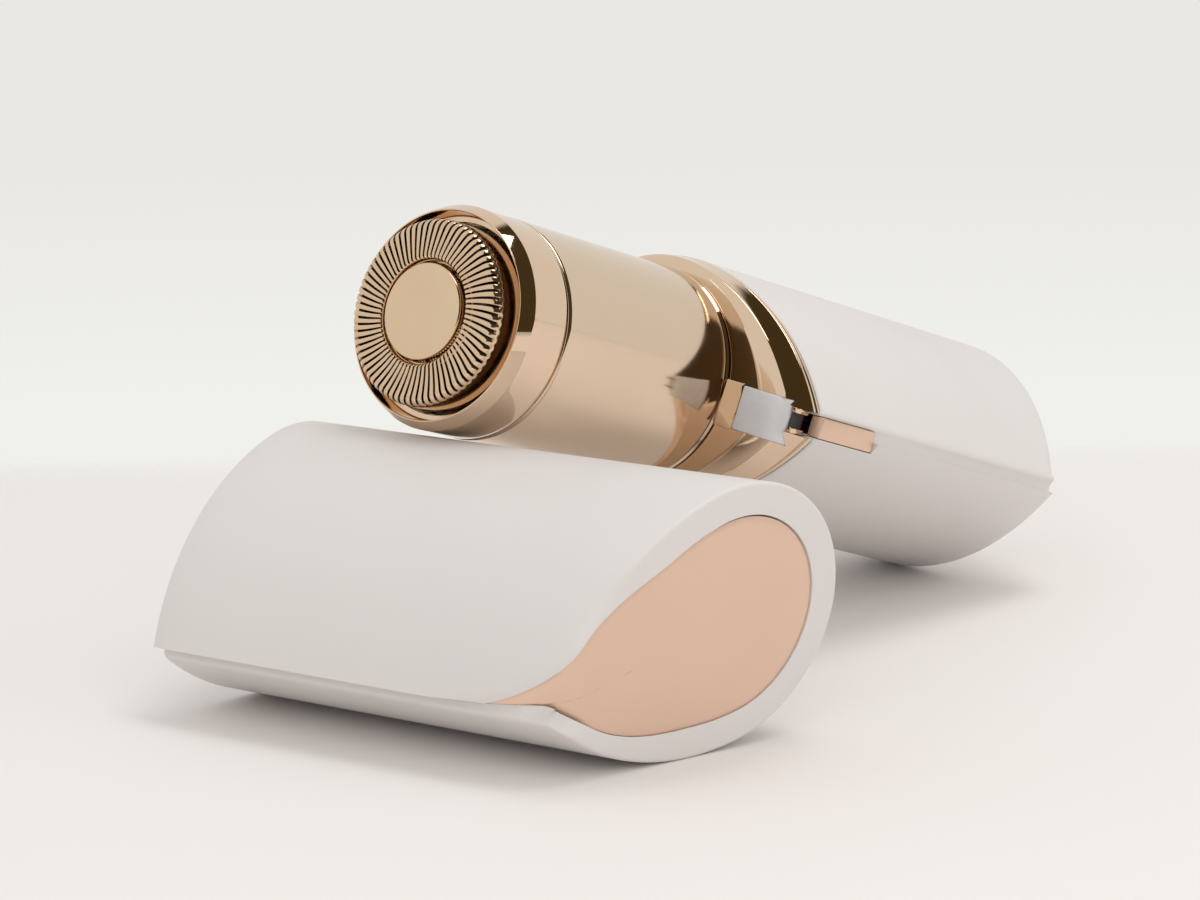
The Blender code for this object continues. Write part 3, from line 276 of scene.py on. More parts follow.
def makeDrift():
    # slow, uneven change of a value over the surface
    group, entry, leave = newGroup(
        "slowDrift",
        [("Size", "NodeSocketFloat", 40.0), ("Low", "NodeSocketFloat", 0.0),
         ("High", "NodeSocketFloat", 1.0)],
        [("Value", "NodeSocketFloat")])
    coords = group.nodes.new("ShaderNodeTexCoord")
    noise = group.nodes.new("ShaderNodeTexNoise")
    noise.inputs["Detail"].default_value = 3
    joinNodes(group, coords.outputs["Object"], noise.inputs["Vector"])
    joinNodes(group, entry.outputs["Size"], noise.inputs["Scale"])
    spread = group.nodes.new("ShaderNodeMapRange")
    spread.inputs["From Min"].default_value = 0.3
    spread.inputs["From Max"].default_value = 0.7
    joinNodes(group, noise.outputs["Fac"], spread.inputs["Value"])
    joinNodes(group, entry.outputs["Low"], spread.inputs["To Min"])
    joinNodes(group, entry.outputs["High"], spread.inputs["To Max"])
    joinNodes(group, spread.outputs["Result"], leave.inputs["Value"])
    return group


def makeGrain():
    # fine moulded or blasted grain as a height
    group, entry, leave = newGroup(
        "fineGrain",
        [("Size", "NodeSocketFloat", 2500.0)],
        [("Height", "NodeSocketFloat")])
    coords = group.nodes.new("ShaderNodeTexCoord")
    noise = group.nodes.new("ShaderNodeTexNoise")
    noise.inputs["Detail"].default_value = 2
    joinNodes(group, coords.outputs["Object"], noise.inputs["Vector"])
    joinNodes(group, entry.outputs["Size"], noise.inputs["Scale"])
    joinNodes(group, noise.outputs["Fac"], leave.inputs["Height"])
    return group


def makeEdgeWear():
    # lighter, duller edges where hands and the cap rub
    group, entry, leave = newGroup(
        "edgeWear",
        [("Amount", "NodeSocketFloat", 0.3)],
        [("Mask", "NodeSocketFloat")])
    geometry = group.nodes.new("ShaderNodeNewGeometry")
    ramp = group.nodes.new("ShaderNodeMapRange")
    ramp.inputs["From Min"].default_value = 0.52
    ramp.inputs["From Max"].default_value = 0.62
    joinNodes(group, geometry.outputs["Pointiness"], ramp.inputs["Value"])
    worn = mathNode(group, "MULTIPLY", ramp.outputs["Result"], entry.outputs["Amount"])
    joinNodes(group, worn, leave.inputs["Mask"])
    return group


driftGroup = makeDrift()
grainGroup = makeGrain()
wearGroup = makeEdgeWear()


def useGroup(tree, group, **values):
    node = tree.nodes.new("ShaderNodeGroup")
    node.node_tree = group
    for label, value in values.items():
        node.inputs[label].default_value = value
    return node


def newFinish(name, values):
    # one finish: colour that drifts between two tones, uneven gloss, grain and worn edges
    material = bpy.data.materials.new(name)
    material.use_nodes = True
    tree = material.node_tree
    shader = tree.nodes["Principled BSDF"]
    shader.inputs["Metallic"].default_value = values.get("metal", 0)
    shader.inputs["IOR"].default_value = values.get("ior", 1.46)
    shader.inputs["Coat Weight"].default_value = values.get("coat", 0)
    shader.inputs["Coat Roughness"].default_value = values.get("coatRough", 0.08)
    tone = useGroup(tree, driftGroup, Size=values.get("patch", 60.0))
    colour = mixColours(tree, tone.outputs[0], values["colour"], values.get("other", values["colour"]))
    if values.get("wear"):
        worn = useGroup(tree, wearGroup, Amount=values["wear"])
        colour = mixColours(tree, worn.outputs[0], colour, values.get("wornTo", (0.9, 0.88, 0.85)))
    joinNodes(tree, colour, shader.inputs["Base Color"])
    low, high = values["rough"]
    gloss = useGroup(tree, driftGroup, Size=values.get("smudge", 110.0), Low=low, High=high)
    joinNodes(tree, gloss.outputs[0], shader.inputs["Roughness"])
    if values.get("grain"):
        grain = useGroup(tree, grainGroup, Size=values["grain"])
        bump = tree.nodes.new("ShaderNodeBump")
        bump.inputs["Strength"].default_value = values.get("bump", 0.1)
        bump.inputs["Distance"].default_value = values.get("bumpDeep", 0.00002)
        joinNodes(tree, grain.outputs[0], bump.inputs["Height"])
        joinNodes(tree, bump.outputs["Normal"], shader.inputs["Normal"])
    material.diffuse_color = (*values["colour"], 1)
    return material


finishes = {
    "roseGold": newFinish("roseGold", {
        "colour": (0.80, 0.62, 0.46), "other": (0.79, 0.60, 0.44), "metal": 1,
        "rough": (0.035, 0.075), "patch": 80, "smudge": 160}),
    "foilGold": newFinish("foilGold", {
        "colour": (0.78, 0.58, 0.40), "other": (0.74, 0.54, 0.36), "metal": 1,
        "rough": (0.10, 0.18), "patch": 200, "smudge": 400}),
    "discGold": newFinish("discGold", {
        "colour": (0.80, 0.61, 0.42), "other": (0.78, 0.58, 0.40), "metal": 1,
        "rough": (0.06, 0.12), "patch": 150, "smudge": 300}),
    "satinRose": newFinish("satinRose", {
        "colour": (0.83, 0.60, 0.46), "other": (0.81, 0.58, 0.445), "metal": 0.75, "coat": 0.15,
        "rough": (0.38, 0.46), "patch": 40, "smudge": 90, "grain": 5200, "bump": 0.15}),
    "shellWhite": newFinish("shellWhite", {
        "colour": (0.738, 0.704, 0.685), "other": (0.718, 0.684, 0.667), "rough": (0.40, 0.50),
        "patch": 45, "smudge": 120, "grain": 4200, "bump": 0.12, "wear": 0.12,
        "wornTo": (0.80, 0.78, 0.76)}),
    "lensGrey": newFinish("lensGrey", {
        "colour": (0.70, 0.69, 0.69), "other": (0.62, 0.61, 0.62), "rough": (0.22, 0.34),
        "patch": 220, "smudge": 300, "grain": 3000, "bump": 0.05}),
    "brightSteel": newFinish("brightSteel", {
        "colour": (0.60, 0.60, 0.61), "other": (0.52, 0.52, 0.53), "metal": 1,
        "rough": (0.22, 0.36), "patch": 150, "smudge": 300, "grain": 3800, "bump": 0.08}),
    "barrelGold": newFinish("barrelGold", {
        "colour": (0.76, 0.605, 0.455), "other": (0.75, 0.59, 0.44), "metal": 1,
        "rough": (0.07, 0.12), "patch": 70, "smudge": 140}),
    # blade steel painted far darker than real steel: painted shade, so the foil's slots over the blade
    # ring read dark
    "bladeSteelPaintedShade": newFinish("bladeSteelPaintedShade", {
        "colour": (0.10, 0.085, 0.07), "other": (0.07, 0.06, 0.05), "metal": 1,
        "rough": (0.3, 0.45), "patch": 300, "smudge": 500}),
    "armatureCopper": newFinish("armatureCopper", {
        "colour": (0.62, 0.27, 0.14), "other": (0.42, 0.17, 0.08), "metal": 1,
        "rough": (0.25, 0.5), "patch": 400, "smudge": 500, "grain": 1800, "bump": 0.4}),
    "mouldedWhite": newFinish("mouldedWhite", {
        "colour": (0.66, 0.65, 0.62), "other": (0.62, 0.61, 0.58), "rough": (0.42, 0.56),
        "patch": 70, "smudge": 140, "grain": 3200, "bump": 0.18, "wear": 0.1}),
    "mouldedBlack": newFinish("mouldedBlack", {
        "colour": (0.030, 0.030, 0.033), "other": (0.045, 0.044, 0.046), "rough": (0.38, 0.55),
        "patch": 90, "smudge": 160, "grain": 3200, "bump": 0.2, "wear": 0.15,
        "wornTo": (0.12, 0.12, 0.12)}),
    "softRubber": newFinish("softRubber", {
        "colour": (0.028, 0.028, 0.028), "other": (0.05, 0.048, 0.046), "rough": (0.7, 0.9),
        "patch": 120, "smudge": 200, "grain": 2600, "bump": 0.3}),
    "solderMask": newFinish("solderMask", {
        "colour": (0.018, 0.12, 0.05), "other": (0.025, 0.16, 0.07), "rough": (0.25, 0.4),
        "coat": 0.4, "patch": 260, "smudge": 300, "grain": 2400, "bump": 0.15}),
    "cellSleeve": newFinish("cellSleeve", {
        "colour": (0.045, 0.055, 0.075), "other": (0.055, 0.065, 0.085), "rough": (0.2, 0.32),
        "coat": 0.5, "patch": 60, "smudge": 200}),
    "contactBrass": newFinish("contactBrass", {
        "colour": (0.68, 0.49, 0.20), "other": (0.58, 0.40, 0.15), "metal": 1,
        "rough": (0.18, 0.34), "patch": 300, "smudge": 300}),
    "wireRed": newFinish("wireRed", {
        "colour": (0.50, 0.02, 0.015), "other": (0.42, 0.015, 0.01), "rough": (0.3, 0.45),
        "patch": 200}),
    "wireBlack": newFinish("wireBlack", {
        "colour": (0.02, 0.02, 0.02), "other": (0.035, 0.035, 0.035), "rough": (0.3, 0.45),
        "patch": 200}),
}

# inner pieces keep their solids and take a finish
innerFinish = {
    "cap_liner": "mouldedWhite", "head_base": "mouldedWhite", "motor_mount": "mouldedWhite",
    # the blade ring's dark steel is painted shade for the slots above it
    "chassis": "mouldedWhite", "blade_ring": "bladeSteelPaintedShade", "cutter_spring": "brightSteel",
    "thrust_washer": "brightSteel", "motor_shaft": "brightSteel", "motor_can": "brightSteel",
    "board_screw_front": "brightSteel", "board_screw_rear": "brightSteel",
    "contact_spring": "brightSteel", "blade_carrier": "mouldedBlack", "drive_dog": "mouldedBlack",
    "motor_end_cap": "mouldedBlack", "slide_switch": "mouldedBlack", "motor_damper": "softRubber",
    "circuit_board": "solderMask", "battery": "cellSleeve", "contact_plate": "contactBrass",
    "light_led": "lensGrey", "lead_red": "wireRed", "lead_black": "wireBlack",
    "foil_frame": "foilGold", "motor_magnet": "softRubber", "motor_armature": "armatureCopper",
}
for node, finish in innerFinish.items():
    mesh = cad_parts[node].data
    mesh.materials.clear()
    mesh.materials.append(finishes[finish])
print("finishes made:", len(finishes))


# teardrop section
def sideArc():
    reach = section["side"] - section["round"]
    tip = section["tip"]
    cosine = (section["side"] ** 2 - reach ** 2 - tip ** 2) / (2 * tip * reach)
    end = math.acos(cosine)
    centre = Vector((-reach * math.cos(end), -reach * math.sin(end)))
    start = math.atan2(-centre.y, tip - centre.x)
    return centre, start, end


arcCentre, arcStart, arcEnd = sideArc()


def sectionSpots(sideCount, roundCount):
    # (spot, outward way) all round from the tip on the overlap side to the tip on the other
    spots = []
    for i in range(sideCount):
        angle = arcStart + (arcEnd - arcStart) * i / sideCount
        way = Vector((math.cos(angle), math.sin(angle)))
        spots.append((arcCentre + way * section["side"], way))
    sweep = 2 * math.pi - 2 * arcEnd
    for i in range(roundCount + 1):
        angle = arcEnd + sweep * i / roundCount
        way = Vector((math.cos(angle), math.sin(angle)))
        spots.append((way * section["round"], way))
    for spot, way in reversed(spots[:sideCount]):
        spots.append((Vector((spot.x, -spot.y)), Vector((way.x, -way.y))))
    return spots


def innerCorner(inset):
    # the tip corner that the wall's inner side has
    return Vector((arcCentre.x + math.sqrt(max(0, (section["side"] - inset) ** 2 - arcCentre.y ** 2)), 0))


def insetSpot(spot, way, inset):
    moved = spot - way * inset
    if spot.x > 0 and moved.y * spot.y <= 0:
        return innerCorner(inset)
    return moved


# cap: shell, inlay
cap = {
    "length": 0.0561, "slopeX": 0.214, "slopeY": -0.131, "floor": 0.0115,
    "diveStart": 0.0175, "diveDeep": 0.0165, "noseStart": 0.019, "noseDeep": 0.0052,
    "band": 0.0032, "sheetBand": 0.00045, "sheetNarrow": (0.007, 0.0205),
    "farBand": 0.0017, "farNarrow": (0.006, 0.0215), "edgeBand": 0.0004, "noseBand": 0.0008,
    "noseSpread": 0.52, "noseSink": (-0.0016, -0.0006), "softFrom": (0.010, 0.0185),
    "softSide": 0.0032, "softBand": 0.0025, "edgeRound": 0.00045, "openRound": 0.0003, "rimTurn": 0.3,
    "pocket": 0.0015, "seam": 0.00005, "middle": 0.002,
}


def endStation(x, y, start, deep):
    # the slanted end plane, which dives along the tip like a quarter of an ellipse
    station = cap["slopeX"] * x
    if x > start:
        width = section["tip"] + 0.00001 - start
        share = min(1, (x - start) / width)
        flat = cap["slopeX"] * start
        station = flat + deep - deep * math.sqrt(1 - share ** 2)
    return station + cap["slopeY"] * y


def plateStation(x, y):
    return endStation(x, y, cap["diveStart"], cap["diveDeep"])


def smoothStep(value, low, high):
    share = min(1, max(0, (value - low) / (high - low)))
    return share * share * (3 - 2 * share)


def bandWidth(spot, sheetSide):
    # the band round the inlay narrows toward the tip, most on the overlapping sheet's side
    narrow, width = 0, cap["band"]
    if sheetSide:
        narrow, width = smoothStep(spot.x, *cap["sheetNarrow"]), cap["sheetBand"]
    elif spot.x > 0 and spot.y < 0:
        narrow, width = smoothStep(spot.x, *cap["farNarrow"]), cap["farBand"]
    return cap["band"] * (1 - narrow) + width * narrow


# the wrapped edge's groove beside the tip, as both shells have it
wrap = {
    "nose": ((0.02143, -0.00176), (0.02149, -0.00158), (0.02151, -0.00142), (0.02148, -0.00127),
             (0.02141, -0.00113), (0.02134, -0.00098), (0.02129, -0.00080), (0.02127, -0.00058),
             (0.02128, -0.00036), (0.02133, -0.00015)),
    "noseWidth": 0.00190, "grooveX": 0.02136, "grooveY": -0.00002, "edgeInset": 0.00015,
}


def shellColumns():
    # outline columns with the groove between the overlapping edge and the rounded nose
    spots = sectionSpots(56, 84)
    columns = [(spots[0][0], spots[0][1], "sheet")]
    for spot, way in spots[1:-1]:
        if spot.x > 0 and -wrap["noseWidth"] < spot.y < 0:
            continue
        columns.append((spot, way, "sheet" if spot.y > 0 and spot.x > 0 else "round"))
    # the nose rolls in from the side to the hollow floor beside the overlapping edge
    lastWay = columns[-1][1]
    for k, spot in enumerate(wrap["nose"]):
        way = lastWay.lerp(Vector((1, 0)), (k + 1) / len(wrap["nose"])).normalized()
        columns.append((Vector(spot), way, "nose"))
    columns.append((Vector((wrap["grooveX"], wrap["grooveY"])), Vector((1, 0)), "groove"))
    columns.append((Vector((wrap["grooveX"], 0)), Vector((1, 0)), "edge"))
    columns.append((Vector((section["tip"] - wrap["edgeInset"], 0)), Vector((1, 0)), "edge"))
    return columns


def makeCapShell():
    columns = shellColumns()
    count = len(columns)
    blendRows, wallRows = 7, 14

    def frontAt(spot, kind):
        plate = plateStation(spot.x, spot.y)
        if kind in ("sheet", "edge", "groove") or spot.x <= 0 or spot.y >= 0:
            return plate
        # the recess's floor dives with the plate, the nose beside it stands up
        sunk = smoothStep(spot.y, *cap["noseSink"]) if kind == "nose" else 0
        raised = endStation(spot.x, spot.y, cap["noseStart"], cap["noseDeep"])
        return raised * (1 - sunk) + plate * sunk

    profiles = []
    for spot, way, kind in columns:
        band = bandWidth(spot, kind == "sheet")
        soft = smoothStep(spot.x, *cap["softFrom"]) if kind == "sheet" else 0
        if kind == "nose":
            band = cap["noseBand"] - cap["noseSpread"] * spot.y
        if kind in ("edge", "groove"):
            band = cap["edgeBand"]
        sideReach = cap["edgeRound"] + cap["softSide"] * soft
        bandReach = min(band * 0.9, cap["edgeRound"] + cap["softBand"] * soft)
        crease = Vector((spot.x, spot.y, frontAt(spot, kind)))
        inner = insetSpot(spot, way, band)
        low = Vector((inner.x, inner.y, plateStation(inner.x, inner.y)))
        toInner = low - crease
        bandPoint = crease + toInner * min(1, bandReach / max(toInner.length, 0.00001))
        sidePoint = Vector((spot.x, spot.y, crease.z + sideReach))
        deep = insetSpot(spot, way, band + cap["seam"])
        rows = [Vector((deep.x, deep.y, low.z + cap["pocket"])), low]
        for k in range(blendRows + 1):
            t = k / blendRows
            rows.append(bandPoint * (1 - t) ** 2 + crease * 2 * t * (1 - t) + sidePoint * t ** 2)
        length = cap["length"]
        rim = cap["openRound"]
        for k in range(1, wallRows + 1):
            t = k / wallRows
            rows.append(Vector((spot.x, spot.y, sidePoint.z + (length - rim - sidePoint.z) * t)))
        turn = rim * cap["rimTurn"]
        turned = insetSpot(spot, way, turn)
        rows.append(Vector((turned.x, turned.y, length - turn)))
        outer = insetSpot(spot, way, rim)
        rows.append(Vector((outer.x, outer.y, length)))
        inside = insetSpot(spot, way, section["wall"])
        if kind in ("edge", "groove"):
            inside = innerCorner(section["wall"])
        if kind == "nose":
            inside = insetSpot(spot, way, section["wall"] * 0.9)
        near = inside + (outer - inside) * 0.25
        rows.append(Vector((near.x, near.y, length)))
        rows.append(Vector((inside.x, inside.y, length - rim)))
        for k in range(1, 5):
            t = k / 4
            rows.append(Vector((inside.x, inside.y, length - rim - (length - rim - cap["floor"]) * t)))
        profiles.append(rows)
    rowCount = len(profiles[0]) + 1
    middleFront = Vector((cap["middle"], 0, plateStation(cap["middle"], 0) + cap["pocket"]))
    middleFloor = Vector((cap["middle"], 0, cap["floor"]))

    def spotAt(column, row):
        if row == 0:
            return middleFront
        if row == rowCount:
            return middleFloor
        return profiles[column % count][row - 1]

    shell = wrapGrid("capShell", count, rowCount, spotAt)
    settle(shell, capMatrix)
    return dress(shell, finishes["shellWhite"], "cap", ["cap_shell"], 40)


inlay = {
    "centre": (0.003, 0), "seamOpen": 0.00011, "sheetSide": (-0.004, 0.006), "drop": 0.00005,
    "sheetDrop": 0.0004, "sunkFrom": (-0.002, 0.008), "tipFrom": (0.016, 0.0195),
    "edgeFall": 0.00012, "edgeFrom": 0.985, "backGap": 0.0001,
}


def makeInlay():
    # satin plate: flush with the band round the back, a little sunk along the overlapping edge
    rows = 24
    plan = []
    for spot, way in sectionSpots(40, 70):
        gap = cap["seam"] + inlay["seamOpen"] * smoothStep(spot.y, *inlay["sheetSide"])
        band = bandWidth(spot, spot.x > 0 and spot.y >= 0) + gap
        plan.append(insetSpot(spot, way, band))
    count = len(plan)
    centre = Vector(inlay["centre"])

    def spotAt(column, row):
        edge = plan[column % count]
        if row <= rows:
            share = row / rows
            place = centre + (edge - centre) * share
            sunk = smoothStep(place.y, *inlay["sheetSide"]) * smoothStep(place.x, *inlay["sunkFrom"])
            sunk = max(sunk, smoothStep(place.x, *inlay["tipFrom"]))
            drop = inlay["drop"] + (inlay["sheetDrop"] - inlay["drop"]) * sunk
            fall = inlay["edgeFall"] * smoothStep(share, inlay["edgeFrom"], 1)
            return Vector((place.x, place.y, plateStation(place.x, place.y) + drop + fall))
        share = (2 * rows + 1 - row) / rows
        place = centre + (edge - centre) * min(1, share)
        back = plateStation(place.x, place.y) + cap["pocket"] - inlay["backGap"]
        return Vector((place.x, place.y, back))

    plate = wrapGrid("capInlay", count, 2 * rows + 1, spotAt)
    settle(plate, capMatrix)
    return dress(plate, finishes["satinRose"], "cap", ["cap_inlay"], 50)


makeCapShell()
makeInlay()

# shaver head
head = {
    "radius": 0.0115, "inner": 0.0106, "length": 0.0089, "rimBack": 0.0023, "lip": 0.0007,
    "lipLong": 0.0015,
    "shelfBack": 0.0043, "shelf": 0.0006, "foilRadius": 0.0095, "foilBack": 0.0001, "sheet": 0.0003,
    "shoulder": 0.0010, "flangeBack": 0.0052, "disc": 0.00495, "moat": 0.0053, "moatDeep": 0.0013,
    "moatFloor": 0.0004, "swirl": 5.0, "slots": 72, "innerTurn": 0.0005, "ribShare": 0.62,
    "fit": 0.0003, "hold": 0.0005, "taper": 0.0006, "noseRound": 0.0004, "crestRound": 0.00022,
    "crestFlat": 0.00012, "lipDrop": (0.00016, 0.00015), "lipIn": 0.00035, "backBevel": (0.00012, 0.00015),
    "softEdge": 0.0001, "discRound": 0.00035, "discTaper": 0.00005, "discStem": 0.0009,
}


def makeHeadRing():
    lip = head["lip"]
    front = head["rimBack"]
    shelfIn = head["foilRadius"] + head["fit"]
    shelfEnd = head["shelfBack"] + head["shelf"]
    crest, lipLong = head["radius"] - lip, head["lipLong"]
    side, length, soft = head["radius"], head["length"], head["softEdge"]
    dropIn, dropBack = head["lipDrop"]
    bevelIn, bevelBack = head["backBevel"]
    points = [
        (side, length - head["hold"], 0), (side, front + lipLong + head["taper"], 0),
        (side, front + lipLong, head["noseRound"]), (crest, front, head["crestRound"]),
        (crest - head["crestFlat"], front, soft), (crest - dropIn, front + dropBack, soft),
        (crest - head["lipIn"], head["shelfBack"], 2 * soft), (shelfIn, head["shelfBack"], soft),
        (shelfIn, shelfEnd, soft), (head["inner"], shelfEnd, 0), (head["inner"], length, 0),
        (side - bevelIn, length, 0), (side, length - bevelBack, 0),
    ]
    ring = spinPiece("headRing", points, handMatrix, 160, closed=True)
    return dress(ring, finishes["roseGold"], "shaver_head", ["head_ring"], 50)


def makeDisc():
    radius, deep, floor = head["disc"], head["moatDeep"], head["moatFloor"]
    moatOut, stemEnd = head["moat"] + head["fit"], deep + head["discStem"]
    points = [
        (0, 0, 0), (radius, 0, head["discRound"]), (radius - head["discTaper"], deep, head["fit"]),
        (moatOut, deep, head["softEdge"]), (moatOut, deep + floor, 0),
        (radius / 2, deep + floor, 0), (radius / 2, stemEnd, 0), (0, stemEnd, 0),
    ]
    disc = spinPiece("foilCenter", points, handMatrix, 128)
    return dress(disc, finishes["discGold"], "shaver_head", ["foil_center"], 40)


def makeFoil():
    # one rib and its slot are modelled and the pair is copied round
    pitch = 2 * math.pi / head["slots"]
    ribShare = head["ribShare"]
    offsets = [0, 0.14, 0.36, 0.64, 0.86, 1]
    across = [ribShare * part for part in offsets] + [1]
    crown = [0.00005, 0.00001, 0, 0, 0.00001, 0.00005, 0.00005]
    radius, shoulder = head["foilRadius"], head["shoulder"]
    back, turn = head["foilBack"], head["innerTurn"]
    rows = [(head["moat"], head["moatDeep"] - 0.0003, 0)]
    for i in range(5):
        angle = math.pi / 2 * i / 4
        rows.append((head["moat"] + turn * (1 - math.cos(angle)), back + turn * (1 - math.sin(angle)),
                     1 if i > 1 else 0))
    slotFirst = 3
    for reach in (0.0064, 0.0070, 0.0076, 0.0081):
        rows.append((reach, back, 1))
    for i in range(9):
        angle = math.pi / 2 * i / 8
        rows.append((radius - shoulder + shoulder * math.sin(angle),
                     back + shoulder - shoulder * math.cos(angle), 1 if i < 8 else 0))
    slotLast = len(rows) - 2
    rows += [(radius, back + shoulder + 0.0006, 0), (radius, head["flangeBack"] + 0.0006, 0)]
    swirlFrom, swirlTo = rows[slotFirst][0], radius
    clearAll()
    bpy.ops.mesh.primitive_grid_add(x_subdivisions=len(across) - 1, y_subdivisions=len(rows) - 1, size=1)
    foil = newPiece("shaverFoil")
    shape = editMesh(foil)
    columnCount, rowCount = len(across) - 1, len(rows) - 1
    for vert in shape.verts:
        column = round((vert.co.x + 0.5) * columnCount)
        row = round((vert.co.y + 0.5) * rowCount)
        reach, station, crowned = rows[row]
        share = min(1, max(0, (reach - swirlFrom) / (swirlTo - swirlFrom)))
        angle = across[column] * pitch + math.radians(head["swirl"]) * share
        sink = crown[column] * crowned
        if reach > radius - shoulder and crowned:
            slant = (reach - (radius - shoulder)) / shoulder
            reach -= sink * slant
            sink *= max(0, 1 - slant)
        vert.co = (reach * math.cos(angle), reach * math.sin(angle), station + sink)
        vert.select = False
    bmesh.update_edit_mesh(foil.data)
    shape.faces.ensure_lookup_table()
    gaps = []
    for face in shape.faces:
        middle = face.calc_center_median()
        reach = Vector((middle.x, middle.y)).length
        share = min(1, max(0, (reach - swirlFrom) / (swirlTo - swirlFrom)))
        angle = math.atan2(middle.y, middle.x) - math.radians(head["swirl"]) * share
        inSlot = angle / pitch > ribShare + 0.02
        inRows = reach > rows[slotFirst][0] and middle.z < rows[slotLast][1]
        if inSlot and inRows:
            gaps.append(face)
    bmesh.ops.delete(shape, geom=gaps, context="FACES")
    bmesh.update_edit_mesh(foil.data)
    bpy.ops.mesh.select_all(action="SELECT")
    bpy.ops.mesh.spin(steps=head["slots"] - 1, dupli=True,
                      angle=2 * math.pi * (head["slots"] - 1) / head["slots"],
                      center=(0, 0, 0), axis=(0, 0, 1))
    bpy.ops.mesh.select_all(action="SELECT")
    bpy.ops.mesh.remove_doubles(threshold=0.000004)
    bpy.ops.object.mode_set(mode="OBJECT")
    shape = editMesh(foil)
    flat = [face for face in shape.faces if face.calc_center_median().z < back + head["sheet"]]
    outward = sum(1 for face in flat if face.normal.z < 0)
    inward = sum(1 for face in flat if face.normal.z > 0)
    if inward > outward:
        bpy.ops.mesh.flip_normals()
    bpy.ops.object.mode_set(mode="OBJECT")
    wall = foil.modifiers.new("wall", "SOLIDIFY")
    wall.thickness = head["sheet"]
    wall.offset = -1
    applyModifiers(foil)
    settle(foil, handMatrix)
    return dress(foil, finishes["foilGold"], "shaver_head", ["shaver_foil"], 45)


makeHeadRing()
makeDisc()
makeFoil()

# barrel and collar
barrel = {
    "front": 0.0092, "back": 0.0355, "radius": 0.0115, "inner": 0.0106, "frontBevel": 0.0002,
    "holdFront": 0.0005, "holdBack": 0.0008, "backRound": 0.00035, "backFlat": 0.0005, "softEdge": 0.0001,
}


def makeBarrel():
    # the two holding rings near the ends keep the long wall's shading even
    radius, inner, bevel = barrel["radius"], barrel["inner"], barrel["frontBevel"]
    front, back = barrel["front"], barrel["back"]
    points = [
        (radius - bevel, front, 0), (radius, front + bevel, 0), (radius, front + barrel["holdFront"], 0),
        (radius, back - barrel["holdBack"], 0), (radius, back, barrel["backRound"]),
        (radius - barrel["backFlat"], back, barrel["softEdge"]), (inner, back, 0), (inner, front, 0),
    ]
    tube = spinPiece("barrelTube", points, handMatrix, 192, closed=True)
    return dress(tube, finishes["barrelGold"], "handle", ["barrel"], 50)


collar = {
    "front": 0.0358, "back": 0.0394, "neckFront": 0.0316, "neck": 0.0103, "neckInner": 0.00905,
    "skirtBack": 0.0421, "skirtGap": 0.0003, "housingWall": 0.0016, "skirtWall": 0.0012,
    "lensX": (0.0137, 0.0194), "lensHalf": 0.00235, "lensShift": 0.0004, "bossFall": 0.00085,
    "lensFace": ((0, 0.0001), (0.50, 0.0001), (0.68, 0.00024), (0.82, 0.00058), (0.92, 0.00100),
                 (1, 0.00145)),
    "windowGap": 0.00003, "bar": 0.0011, "barLow": 0.01943, "rail": (0.0197, 0.0203),
    "railIn": 0.00078, "railFront": 0.0371, "railFit": 0.00024, "railBevel": 0.0001,
    # the last four sizes here place the black block at the end of the bar's way, which is painted shade
    "slotGap": 0.0003, "shadeBlockGap": 0.00003, "shadeBlockFit": 0.00022, "shadeBlockBack": 0.0004, "shadeBlockFront": 0.00002,
    "bossOver": 0.00015, "bossIn": 0.0002, "bossFront": 0.0004, "bossLap": 0.0003, "bossBevel": 0.0001,
    "skirtBevel": 0.0002, "backGap": 0.00005, "lensBevel": 0.00015,
    # the stepped face, as shares of the way out and of the way back
    "shoulder": ((0, 0.060), (0.16, 0.060), (0.32, 0.060), (0.47, 0.062)),
    "slope": ((0.485, 0.075), (0.56, 0.105), (0.66, 0.150), (0.755, 0.205)),
    "flare": ((0.775, 0.235), (0.790, 0.32), (0.835, 0.50), (0.890, 0.69), (0.935, 0.845)),
    "rim": ((0.942, 0.862), (0.952, 0.872), (0.966, 0.885), (0.975, 0.93), (0.976, 1)),
}


def sectionReach(angle):
    # radius of the teardrop at an angle from the tip
    ray = Vector((math.cos(angle), math.sin(angle)))
    side = 1 if ray.y >= 0 else -1
    centre = Vector((arcCentre.x, arcCentre.y * side))
    along = ray.dot(centre)
    reach = along + math.sqrt(max(0, along ** 2 - centre.dot(centre) + section["side"] ** 2))
    if abs(math.atan2(ray.y, ray.x)) > arcEnd:
        reach = section["round"]
    return reach


def curveThrough(points, steps):
    # smooth run through points
    run = []
    last = len(points) - 1
    for i in range(last):
        p = [Vector(points[max(0, min(last, i + k))]) for k in (-1, 0, 1, 2)]
        for k in range(steps):
            t = k / steps
            bend = 2 * p[0] - 5 * p[1] + 4 * p[2] - p[3]
            turn = 3 * p[1] - p[0] - 3 * p[2] + p[3]
            run.append(0.5 * (2 * p[1] + (p[2] - p[0]) * t + bend * t ** 2 + turn * t ** 3))
    run.append(Vector(points[-1]))
    return run


